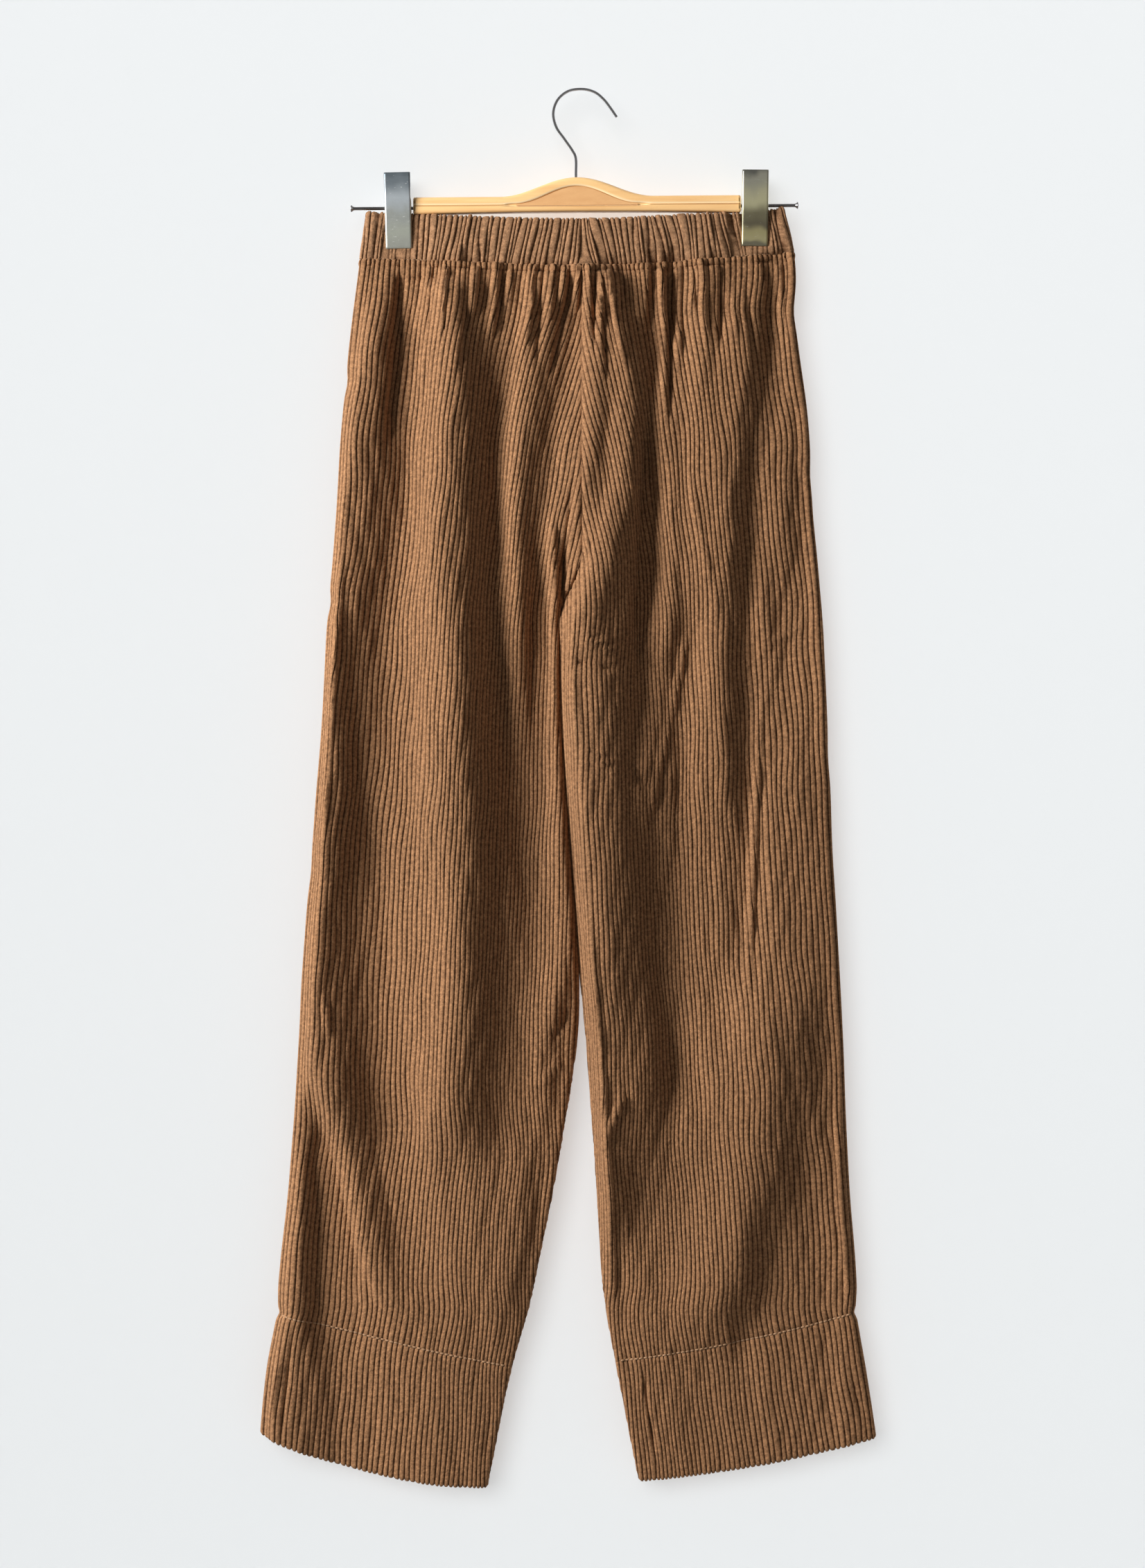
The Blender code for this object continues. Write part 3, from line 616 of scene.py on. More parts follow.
@dataclass(frozen=True)
class Form:
    """The hanging form of one leg's panel on one face, as the CAD solids have it, with the smaller folds."""

    face: Face
    leg: Leg
    gap: float = GAP
    nicked: bool = True

    def outer_edge(self, z: Array) -> Array:
        """The x of the side seam.

        Args:
            z: Heights.

        Returns:
            The x at each height.
        """
        edge = section_value(f"outer_{self.leg.word}", z)
        for nick in NICKS[self.leg] if self.nicked else ():
            edge = edge - self.leg.value * nick.depth * np.exp(-(((z - nick.z) / nick.reach) ** 2))
        return edge

    def inner_edge(self, z: Array) -> Array:
        """The x of the centre seam and, below it, of the inseam."""
        return section_value(f"inner_{self.leg.word}", z)

    def grip(self, x: Array, z: Array) -> Array:
        """How much a clip presses the cloth flat.

        Args:
            x: The x of each place.
            z: Its height.

        Returns:
            From 0 where the cloth is free to 1 where it is flat.
        """
        pressed, pulled = CLIP_GRIP_REACH
        held, free = CLIP_GRIP_LEVELS
        down = 1 - ease((held - z) / (held - free))
        reaches = [1 - ease((abs(x - at) - pressed) / (pulled - pressed)) for at in CLIP_X.values()]
        return down * np.maximum(*reaches)

    def relief(self, x: Array, z: Array) -> Array:
        """How far folds, creases and puckers lift the cloth.

        Args:
            x: The x of each place.
            z: Its height.

        Returns:
            The lift at each place.
        """
        total = self.folds(x, z)
        for crease in CREASES[self.face]:
            total = total + DEEPER[self.face] * crease.lift(x, z)
        total = total + Gathers(GATHERS_SEED + self.face.value).lift(x, z)
        below_band = ease((band_value("bottom", x) - z) / UNEVEN_FROM)
        for seed, height, across, down in UNEVEN:
            total = total + height * Waves(seed + self.face.value, across, down).at(x, z) * below_band
        return total

    def seams(self, x: Array, z: Array, across: Array) -> Array:
        """How far the seams draw the cloth in.

        Args:
            x: The x of each place.
            z: Its height.
            across: Its place across the leg.

        Returns:
            The depth at each place.
        """
        below = band_value("bottom", x) - z
        joined = np.clip(section_value("joined", z), 0, 1)
        pull = WAIST_SEAM.pull(below) + BEADS_FOOT.pull(below - BEADS)
        pull = pull + HEM_SEAM.pull(z - HEM_STITCH[self.leg].height(across))
        return pull + joined * CENTRE_SEAM.pull(x - self.inner_edge(z))

    def folds(self, x: Array, z: Array) -> Array:
        """How far the folds lift the cloth."""
        lifts = (fold.lift(x, z) for fold in FOLDS[self.face] + SMALL_FOLDS[self.face])
        return DEEPER[self.face] * sum(lifts, np.zeros(np.broadcast(x, z).shape))

    def points(self, across: Array, z: Array, folds_only: bool = False) -> Array:
        """Points of the cloth's outer surface, without its wales.

        Args:
            across: From -1 at the side seam to 1 at the leg's inner edge.
            z: The height.
            folds_only: Whether smaller creases, puckers and seams are left out.

        Returns:
            An array with x, y and z last.
        """
        outer, inner = self.outer_edge(z), self.inner_edge(z)
        joined = np.clip(section_value("joined", z), 0, 1)
        apart = 1 - joined
        inward = -self.leg.value
        inner_x = inner - inward * self.gap * (apart - 0.5 * joined)
        x = outer + (inner_x - outer) * (across + 1) / 2
        rounded = np.maximum(1 - abs(across) ** EDGE_POWER, 0.0) ** (1 / EDGE_POWER)
        profile = np.where(across < 0, rounded, joined + apart * rounded)
        fade = ease((1 + across) / EDGE_FADE) * (joined + apart * ease((1 - across) / EDGE_FADE))
        depth = section_value("half_depth", z) * profile
        lift = self.folds(x, z) if folds_only else self.relief(x, z) - self.seams(x, z, across)
        depth = depth + fade * (lift - SUNK[self.face])
        pressed = self.grip(x, z)
        depth = depth * (1 - pressed) + np.minimum(depth, CLIP_GRIP) * pressed
        depth = np.maximum(depth, 0.0)
        return np.stack((x, self.face.value * (self.gap / 2 + depth), np.broadcast_to(z, x.shape)), axis=-1)


# ---------------------------------------------------------------- cloth with real wales
PHASES = (0.0, 0.11, 0.32, 0.68, 0.89)  # where a wale is sampled, from one groove to the next
SAMPLES = 460  # fine samples across a panel, from which the wales' columns are read


@dataclass(frozen=True)
class Corduroy:
    """The wales of one piece: their spacing, height, and how uneven they are."""

    seed: int
    pitch: float = 4.35
    height: float = 1.15
    uneven_width: float = 0.06
    uneven_height: float = 0.15
    wander: float = 0.12
    lowest: float = 0.3  # the least that unevenness leaves of a wale's height

    def place(self, distance: Array, z: Array) -> Array:
        """Counts wales along the cloth.

        Args:
            distance: How far along the cloth a place lies from where the wales are counted.
            z: Its height.

        Returns:
            The count, whole at each groove.
        """
        count = distance / self.pitch
        count = count + self.wander * Waves(self.seed, 60.0, 90.0).at(distance, z)
        return count + self.uneven_width * Waves(self.seed + 1, 12.0, 700.0).at(distance, z)

    def ridge(self, count: Array) -> Array:
        """The shape of a wale across its width, 0 in the groove and 1 on top."""
        return np.sqrt(np.maximum(1 - from_top(count) ** 3, 0))

    def lift(self, count: Array, z: Array) -> Array:
        """How far the wale stands out of the cloth."""
        vary = 1 + self.uneven_height * Waves(self.seed + 2, 5.0, 80.0).at(np.floor(count) * 1.7, z)
        return self.height * self.ridge(count) * np.maximum(vary, self.lowest)


def from_top(count: Array) -> Array:
    """How far across its wale each place lies, from 0 on top to 1 in the groove."""
    return abs(2 * (count - np.floor(count)) - 1)


def unit(vectors: Array) -> Array:
    """Vectors with their lengths made 1."""
    return vectors / np.maximum(np.linalg.norm(vectors, axis=-1, keepdims=True), TINY)


class Columns(NamedTuple):
    """The cloth read along its wales: rows down it, columns across it."""

    place: Array
    normal: Array
    count: Array
    edge: Array
    swell: Array


def read_grid(values: Array, row: Array, column: Array) -> Array:
    """Values of a grid read between its points.

    Args:
        values: Numbers or vectors, rows by columns.
        row: The rows, which may be fractional.
        column: The columns, which may be fractional.

    Returns:
        A value for each row and column.
    """
    top = np.minimum(row.astype(int), values.shape[0] - 2)
    left = np.minimum(column.astype(int), values.shape[1] - 2)
    down, along = row - top, column - left
    if values.ndim == 3:
        down, along = down[..., None], along[..., None]
    upper = values[top, left] * (1 - along) + values[top, left + 1] * along
    lower = values[top + 1, left] * (1 - along) + values[top + 1, left + 1] * along
    return upper * (1 - down) + lower * down


def surface_normals(points: Array, face: Face) -> Array:
    """Outward directions of a surface.

    Args:
        points: The surface, rows by samples.
        face: Which way it looks.

    Returns:
        A direction for each point.
    """
    normal = unit(np.cross(np.gradient(points, axis=1), np.gradient(points, axis=0)))
    middle = normal[:, normal.shape[1] // 2, 1].mean()
    return normal * np.sign(middle) * face.value


def read_columns(points: Array, face: Face, count: Array, distance: Array) -> Columns:
    """Reads a finely sampled surface along its wales.

    Args:
        points: The surface, rows by samples.
        face: Which way it looks.
        count: The wale count of each sample, rising along each row.
        distance: How far each sample lies from the row's nearest end.

    Returns:
        The columns, each at one phase of one wale. Where a wale runs off an edge, its columns stop there.
    """
    normal = surface_normals(points, face)
    count = np.maximum.accumulate(count + 1e-7 * np.arange(count.shape[1]), axis=1)
    first, last = math.floor(count.min()), math.ceil(count.max())
    wanted = np.array([wale + phase for wale in range(first, last) for phase in PHASES] + [last])
    rows, samples = count.shape
    at = np.stack([np.interp(wanted, count[r], np.arange(samples)) for r in range(rows)])
    row = np.broadcast_to(np.arange(rows, dtype=float)[:, None], at.shape)
    clamped = np.clip(wanted[None, :], count[:, :1], count[:, -1:])
    read = [read_grid(values, row, at) for values in (points, normal, distance)]
    return Columns(read[0], read[1], clamped, read[2], np.ones_like(clamped))


SCALLOP = 1.9  # how far the wales stand out at a folded edge
FOLD_TURNS = np.linspace(0, math.pi, 7)[1:-1]  # the angles of a folded edge's rows, from outside to inside
INNER_GROOVE_SHADE = 0.45  # how much of the grooves' painted shade a plain inner side gets, from 0 on a wale to 1 in a groove


@dataclass
class Wall:
    """A closed wall of corduroy, rolled from one grid: down its outer side, round its edge and up inside."""

    name: str
    columns: Columns
    cloth: Corduroy
    thickness: float
    round_bottom: bool = False
    round_top: bool = False
    inner_wales: float = 0.0
    inner_step: int = 4
    seam_taper: float = 3.0

    def rounding(self, row: int, beyond: int) -> list[Array]:
        """Rows round a folded edge.

        Args:
            row: The wall's last row at that edge.
            beyond: The row before it.

        Returns:
            The rows, from the outer side to the inner one.
        """
        place, normal = self.columns.place, self.columns.normal
        out = unit(place[row] - place[beyond])
        half = self.thickness * self.taper()[row] / 2
        centre = place[row] - normal[row] * half
        lift = self.relief()[row]
        tooth = SCALLOP * (1 - from_top(self.columns.count[row])[:, None] ** 2) * self.taper()[row]
        made = []
        for angle in FOLD_TURNS:
            across, along = math.cos(angle), math.sin(angle)
            wales = max(self.inner_wales, self.cloth.lowest) if across < 0 else 1.0
            reach = half + np.maximum(lift * wales, along * tooth)
            made.append(centre + normal[row] * across * reach + out * along * reach)
        return made

    def taper(self) -> Array:
        """How much of its thickness the wall has, which closes to nothing at its seamed edges."""
        return np.clip(self.columns.edge / self.seam_taper, 0, 1)[..., None]

    def relief(self) -> Array:
        """How far the wales stand out."""
        lift = self.cloth.lift(self.columns.count, self.columns.place[..., 2]) * self.columns.swell
        return lift[..., None] * self.taper() ** 0.5

    def build(self) -> Item:
        """Makes the wall's object.

        Returns:
            The object, with each point's groove share, for painted shade, and place on the cloth as
            attributes.
        """
        place, normal, count = self.columns.place, self.columns.normal, self.columns.count
        outer = place + normal * self.relief()
        inner = place - normal * (self.thickness * self.taper() + self.inner_wales * self.relief())
        bottom = self.rounding(-1, -2) if self.round_bottom else []
        top = self.rounding(0, 1)[::-1] if self.round_top else []
        back = sorted({*range(0, len(place), self.inner_step), len(place) - 1}, reverse=True)
        points = np.stack([*outer, *bottom, *inner[back], *top, outer[0]])
        rows = [*range(len(place)), *[-1] * len(bottom), *back, *[0] * (len(top) + 1)]
        inside = len(place) + len(bottom)
        # the groove share, 1 in a groove and 0 on a wale's top, says where the material paints shade
        groove = 1 - self.cloth.ridge(count[rows])
        if not self.inner_wales:
            groove[inside : inside + len(back)] = INNER_GROOVE_SHADE
        height = place[rows, :, 2]
        for row in (*range(len(place), inside), *range(inside + len(back), len(points) - 1)):
            height[row] = points[row, :, 2]
        weave = np.stack((count[rows] * self.cloth.pitch, height, np.zeros_like(height)), axis=-1)
        return grid_object(self.name, points, groove=groove, weave=weave)


def bent_grid(points: Array) -> bmesh.types.BMesh:
    """A grid bent through the given points.

    Args:
        points: Rows by columns of places in millimetres.

    Returns:
        The grid.
    """
    bm = bmesh.new()
    bmesh.ops.create_grid(bm, x_segments=points.shape[1] - 1, y_segments=points.shape[0] - 1, size=1)
    for vert, place in zip(bm.verts, (points.reshape(-1, 3) * MM).tolist()):
        vert.co = place
    return bm


def grid_object(name: str, points: Array, **marks: Array) -> Item:
    """An object of a grid bent through the given points, welded where they meet.

    Args:
        name: The piece's name.
        points: Rows by columns of places in millimetres.
        marks: Numbers or vectors to keep at each point, by attribute name.

    Returns:
        The object, smooth and with its faces pointing out.
    """
    bm = bent_grid(points)
    layers = []
    for key, values in marks.items():
        if values.ndim == 3:
            layers.append((bm.verts.layers.float_vector.new(key), values.reshape(-1, 3).tolist()))
        else:
            layers.append((bm.verts.layers.float.new(key), values.ravel().tolist()))
    for i, vert in enumerate(bm.verts):
        for layer, values in layers:
            vert[layer] = values[i]
    bmesh.ops.remove_doubles(bm, verts=bm.verts, dist=WELD)
    open_edges = [edge for edge in bm.edges if edge.is_boundary]
    if open_edges:
        bmesh.ops.holes_fill(bm, edges=open_edges, sides=0)
    bmesh.ops.recalc_face_normals(bm, faces=bm.faces)
    return finished(name, bm)


def finished(name: str, bm: bmesh.types.BMesh, sharp: float = 60.0) -> Item:
    """Ends a bmesh as an object in the scene.

    Args:
        name: The object's name.
        bm: Its bmesh, which is freed.
        sharp: The angle in degrees over which an edge stays sharp.

    Returns:
        The object.
    """
    mesh = bpy.data.meshes.new(name)
    bm.to_mesh(mesh)
    bm.free()
    mesh.shade_smooth()
    if sharp < 180:
        mesh.set_sharp_from_angle(angle=math.radians(sharp))
    return in_scene(name, mesh)


def in_scene(name: str, data: bpy.types.ID) -> Item:
    """Puts a new object in the scene.

    Args:
        name: Its name.
        data: Its mesh, light or camera.

    Returns:
        The object.
    """
    made = bpy.data.objects.new(name, data)
    bpy.context.scene.collection.objects.link(made)
    return made


def arc_lengths(points: Array) -> Array:
    """How far along its row each point lies."""
    steps = np.linalg.norm(np.diff(points, axis=1), axis=-1)
    return np.concatenate((np.zeros((len(points), 1)), np.cumsum(steps, axis=1)), axis=1)


def panel_samples() -> Array:
    """Places across a panel, close together at both edges where the cloth turns round."""
    return -np.cos(np.linspace(0, math.pi, SAMPLES))


def waist_x(leg: Leg, across: Array) -> Array:
    """The x of a column where it meets the waistband.

    Args:
        leg: The column's leg.
        across: Its place across it, from -1 at the side seam to 1.

    Returns:
        The x of each column.
    """
    outer = section_value(f"outer_{leg.word}", SECTIONS[1].z)
    inner = section_value(f"inner_{leg.word}", SECTIONS[1].z)
    return outer + (inner - outer) * (across + 1) / 2


LEG_WALES = {Face.BACK: Corduroy(101), Face.FRONT: Corduroy(202)}
BAND_SEED = 300
RISE_SHEAR = 32.0  # how far the wales run off at the centre seam between the waist and the crotch
RISE_REACH = 75.0  # how far from that seam they are drawn towards it
RISE_TOP = -138.0
RISE_LENGTH = 230.0
CROTCH_TOP = -350.0
GATHERED_TO = -170.0
SETTLED_BY = 60.0  # how far below that the wales run evenly
DENT_REACH = 10.0  # how far in from the edge its dents push the wales
WALE_SETTLE = 38.0  # over what height the wales even out the folds' pull
WALE_LEVELS = (-140.0, -1100.0, 180)  # the highest and lowest levels at which they are counted, and how many
FINE_OFFSETS = (0.0, 12.0, 40)  # from the side seam, where they are counted: the first, the last, how many
WIDE_OFFSETS = (12.0, 270.0, 130)
FOLLOW = 0.75  # how far the wales' spacing follows the cloth over its folds, and not its width as seen
BEAD_SWELL = 0.9  # how much taller the wales stand in the row of beads


def wale_distance(face: Face, leg: Leg, x: Array, z: Array, across: Array) -> Array:
    """How far from the side seam the wales at each place of a leg are counted, along the cloth.

    Over the gathers they are drawn close together. Below, they run beside the side seam and even out.

    Args:
        face: The leg's face.
        leg: The leg.
        x: The x of the places, rows by samples.
        z: Their heights.
        across: The samples' places across the leg.

    Returns:
        The distances, in millimetres.
    """
    even = Form(face, leg, nicked=False)
    levels = np.linspace(*WALE_LEVELS)
    plain = even.points(across[None, :], np.minimum(levels, GATHERED_TO)[:, None], folds_only=True)
    flat = abs(plain[..., 0] - plain[:, :1, 0])
    along = arc_lengths(plain) * FOLLOW + flat * (1 - FOLLOW)
    near = np.exp(-(((levels[:, None] - levels[None, :]) / WALE_SETTLE) ** 2))
    near /= near.sum(axis=1, keepdims=True)
    level = np.interp(-z, -levels, np.arange(len(levels)))
    drawn = read_grid(near @ along, level, np.broadcast_to(np.arange(len(across)), z.shape).astype(float))
    offsets = np.concatenate((np.linspace(*FINE_OFFSETS), np.linspace(*WIDE_OFFSETS)[1:]))
    beside = [np.interp(offsets, x, run) + np.maximum(offsets - x[-1], 0) for x, run in zip(flat, along)]
    edge = even.outer_edge(z)
    dent = abs(Form(face, leg).outer_edge(z) - edge)
    offset = abs(x - edge)
    offset = np.maximum(offset - dent * np.exp((dent - offset) / DENT_REACH), 0)
    settled = read_grid(near @ np.stack(beside), level, np.interp(offset, offsets, np.arange(len(offsets))))
    share = ease((GATHERED_TO - z) / SETTLED_BY)
    return drawn * (1 - share) + settled * share


def leg_columns(face: Face, leg: Leg, z: Array, across: Array) -> Columns:
    """The cloth of a leg or its hem, whose wales are counted from the side seam.

    Args:
        face: The leg's face.
        leg: The leg.
        z: The heights of its rows, rows by samples.
        across: The samples' places across the leg.

    Returns:
        Its columns.
    """
    points = Form(face, leg).points(np.broadcast_to(across, z.shape), z)
    distance = arc_lengths(points)
    x = points[..., 0]
    seam_x = section_value(f"inner_{leg.word}", np.maximum(z, CROTCH_TOP))
    shear = np.clip((RISE_TOP - z) / RISE_LENGTH, 0, 1) * np.exp(-(((x - seam_x) / RISE_REACH) ** 2))
    count = LEG_WALES[face].place(wale_distance(face, leg, x, z, across) + RISE_SHEAR * shear, z)
    ends = np.minimum(distance, distance[:, -1:] - distance)
    columns = read_columns(points, face, count - count[:, :1], ends)
    below = band_value("bottom", columns.place[..., 0]) - columns.place[..., 2]
    beads = np.exp(-(((below - BEADS / 2) / (BEADS / 3)) ** 2))
    return columns._replace(swell=1 + BEAD_SWELL * beads)


LEAN_AT = (-174, -150, -115, -90, -12, -3, 5, 20, 60, 95, 164)
LEAN = (0.03, 0.0, 0.04, 0.12, 0.17, 0.1, -0.22, -0.17, -0.08, -0.03, 0.0)  # of the casing's wales, at each x


@dataclass(frozen=True)
class Trousers:
    """The trousers: four leg panels, their hems and the gathered waistband."""

    leg_row: float = 5.2
    hem_row: float = 6.0
    under_waist: Steps = (0.0, 0.7, 1.6, 2.7, 3.8, 4.7, 5.5, 6.4, 7.6, 9.2, 11.4, 14.4, 18.2)
    over_stitches: Steps = (9.0, 5.6, 3.4, 1.8, 0.7, 0.0)
    under_stitches: Steps = (0.0, 0.7, 1.8, 3.4, 5.6)
    band_rows: Steps = (0.0, 0.06, 0.13, 0.22, 0.32, 0.43, 0.54, 0.65, 0.75, 0.83, 0.9, 0.955, 1.0)
    band_swell: float = 1.2
    swell_fade: float = 0.04
    band_wales: float = 0.25  # how much of their height the casing's wales keep under a clip
    clip_shadow: float = 3.5  # over what distance beside a clip they regain it

    def rows(self, tops: Array, bottoms: Array, near: tuple[Steps, Steps], count: int) -> list[Array]:
        """Heights of a panel's rows, closer together at its ends.

        Args:
            tops: The height of its top at each column.
            bottoms: The height of its bottom.
            near: How far from the top its first rows lie, and how far from the bottom its last ones.
            count: How many steps lie between those.

        Returns:
            The rows, from the top.
        """
        above, below = near
        length = tops - bottoms - above[-1] - below[0]
        rows = [tops - step for step in above[:-1]]
        rows += [tops - above[-1] - length * i / count for i in range(count + 1)]
        return rows + [bottoms + step for step in below[1:]]

    def build_leg(self, face: Face, leg: Leg) -> Item:
        """One leg panel, from under the waistband to the hem's stitch line.

        Args:
            face: Its face.
            leg: Its leg.

        Returns:
            The panel.
        """
        across = panel_samples()
        tops = band_value("bottom", waist_x(leg, across)) - GAP
        bottoms = HEM_STITCH[leg].height(across)
        near = (self.under_waist, self.over_stitches)
        count = int(((tops - bottoms).max() - near[0][-1] - near[1][0]) / self.leg_row)
        z = np.stack(self.rows(tops, bottoms, near, count))
        name = f"corduroy_{face.word}_leg_{leg.word}"
        return Wall(name, leg_columns(face, leg, z, across), LEG_WALES[face], CLOTH).build()

    def build_hem(self, face: Face, leg: Leg) -> Item:
        """One turned-up hem, folded at its lower edge.

        Args:
            face: Its face.
            leg: Its leg.

        Returns:
            The hem.
        """
        across = panel_samples()
        tops = HEM_STITCH[leg].height(across) - GAP
        bottoms = HEM_EDGE[leg].height(across) + HEM_CLOTH / 2
        count = int((tops - bottoms).max() / self.hem_row)
        z = np.stack(self.rows(tops, bottoms, (self.under_stitches, (0.0,)), count))
        columns = leg_columns(face, leg, z, across)
        name = f"hem_turn_up_{face.word}_{leg.word}"
        return Wall(name, columns, LEG_WALES[face], HEM_CLOTH, round_bottom=True, inner_wales=0.6).build()

    def band_points(self, face: Face, leg: Leg, places: Array) -> Array:
        """The casing's outer surface over one leg.

        Args:
            face: The casing's face.
            leg: The leg.
            places: The samples' places across the leg.

        Returns:
            Rows by samples of places, swollen by the elastic where no clip holds them.
        """
        x = waist_x(leg, places)
        top, bottom = band_value("top", x) - BAND_CLOTH / 2, band_value("bottom", x) + GAP / 2
        share = np.array(self.band_rows)[:, None]
        z = top + (bottom - top) * share
        points = Form(face, leg, gap=0.0).points(np.broadcast_to(places, z.shape), z)
        bulging = self.band_swell * np.sin(math.pi * share) ** 0.7
        free = 1 - Form(face, leg).grip(points[..., 0], z)
        points[..., 1] += face.value * bulging * free * ease((1 + places) / self.swell_fade)
        return points

    def build_band(self, face: Face) -> Item:
        """The casing of one face, its wales drawn close together by the elastic.

        Args:
            face: The face.

        Returns:
            The casing.
        """
        across = panel_samples()[::2]
        cloth = Corduroy(
            BAND_SEED + face.value, pitch=4.15, height=1.45, uneven_width=0.3, uneven_height=0.42, wander=0.3
        )
        halves = ((Leg.LEFT, across[:-1]), (Leg.RIGHT, across[::-1]))
        points = np.concatenate([self.band_points(face, leg, places) for leg, places in halves], axis=1)
        distance = arc_lengths(points)
        x, z = points[..., 0], points[..., 2]
        middle = (z[:1] + z[-1:]) / 2
        even = np.broadcast_to(distance[len(z) // 2], distance.shape)
        count = cloth.place(even - np.interp(x, LEAN_AT, LEAN) * (z - middle), z)
        ends = np.minimum(distance, distance[:, -1:] - distance)
        columns = read_columns(points, face, count, ends)
        off = np.minimum(*[abs(columns.place[..., 0] - at) for at in CLIP_X.values()])
        held = self.band_wales
        columns = columns._replace(swell=held + (1 - held) * ease((off - CLIP_HALF) / self.clip_shadow))
        return Wall(f"waist_casing_{face.word}", columns, cloth, BAND_CLOTH, round_top=True).build()


# ---------------------------------------------------------------- stitches
@dataclass(frozen=True)
class Stitch:
    """One sewn stitch: a short bead of thread."""

    length: float = 2.3
    thick: float = 0.75
    spacing: float = 3.4
    rise: float = 0.35

    def sew(self, name: str, paths: list[Array], face: Face) -> Item:
        """Sews beads along paths.

        Args:
            name: The piece's name.
            paths: Lines of places on the cloth.
            face: The face on which they lie.

        Returns:
            One object of all the beads.
        """
        bm = bmesh.new()
        size = Matrix.Diagonal((self.length / 2 * MM, self.thick / 2 * MM, self.thick / 2 * MM, 1))
        lifted = Vector((0, face.value * self.rise, 0))
        for path in paths:
            lengths = np.concatenate(((0.0,), np.cumsum(np.linalg.norm(np.diff(path, axis=0), axis=1))))
            for at in np.arange(self.spacing, lengths[-1] - self.spacing, self.spacing):
                start, end = (
                    Vector([float(np.interp(place, lengths, column)) for column in path.T])
                    for place in (at - 0.5, at + 0.5)
                )
                turn = (end - start).normalized().to_track_quat("X", "Z").to_matrix().to_4x4()
                place = (start + end) / 2 + lifted
                matrix = Matrix.Translation(place * MM) @ turn @ size
                bmesh.ops.create_uvsphere(bm, u_segments=8, v_segments=5, radius=1, matrix=matrix)
        return finished(name, bm, sharp=180)


STITCH_DROP = 0.1  # how far below its seam a row of stitches runs
WAIST_ROW = (-0.985, 0.99, 160)  # places across a leg at which it is read: the first, the last, how many
HEM_ROW = (-0.985, 0.985, 160)


def sew_waist(face: Face) -> Item:
    """Sews the stitches that close the waistband's casing.

    Args:
        face: The casing's face.

    Returns:
        The stitches.
    """
    across = np.linspace(*WAIST_ROW)
    paths = []
    for leg in Leg:
        heights = band_value("bottom", waist_x(leg, across)) - STITCH_DROP
        paths.append(Form(face, leg).points(across, heights))
    return Stitch(rise=0.9).sew(f"waist_stitches_{face.word}", paths, face)


def sew_hem(face: Face, leg: Leg) -> Item:
    """Sews the stitches that hold one turned-up hem.

    Args:
        face: The hem's face.
        leg: Its leg.

    Returns:
        The stitches.
    """
    across = np.linspace(*HEM_ROW)
    path = Form(face, leg).points(across, HEM_STITCH[leg].height(across) - STITCH_DROP)
    stitch = Stitch(length=3.5, thick=1.6, spacing=3.7, rise=1.1)
    return stitch.sew(f"hem_stitches_{face.word}_{leg.word}", [path], face)


# ---------------------------------------------------------------- the hanger
BAR_CENTRE = Vector((-5.5, 0.0, -90.7))
BAR_TILT = -0.42  # degrees about +Y; the right end is higher
BAR_HALF = 127.5
ROD_TIP = {Leg.LEFT: -181.8, Leg.RIGHT: 166.9}


def hanger_place() -> Matrix:
    """The place of the hanger's own frame, in millimetres."""
    return Matrix.Translation(BAR_CENTRE) @ Matrix.Rotation(math.radians(BAR_TILT), 4, "Y")


def moved(points: Array, matrix: Matrix) -> Array:
    """Points carried by a matrix."""
    table = np.array(matrix)
    return points @ table[:3, :3].T + table[:3, 3]


def mound(x: Array, half_width: float) -> Array:
    """A smooth mound: 1 in the middle and 0 from half its width on."""
    return (1 + np.cos(math.pi * np.clip(x / half_width, -1, 1))) / 2


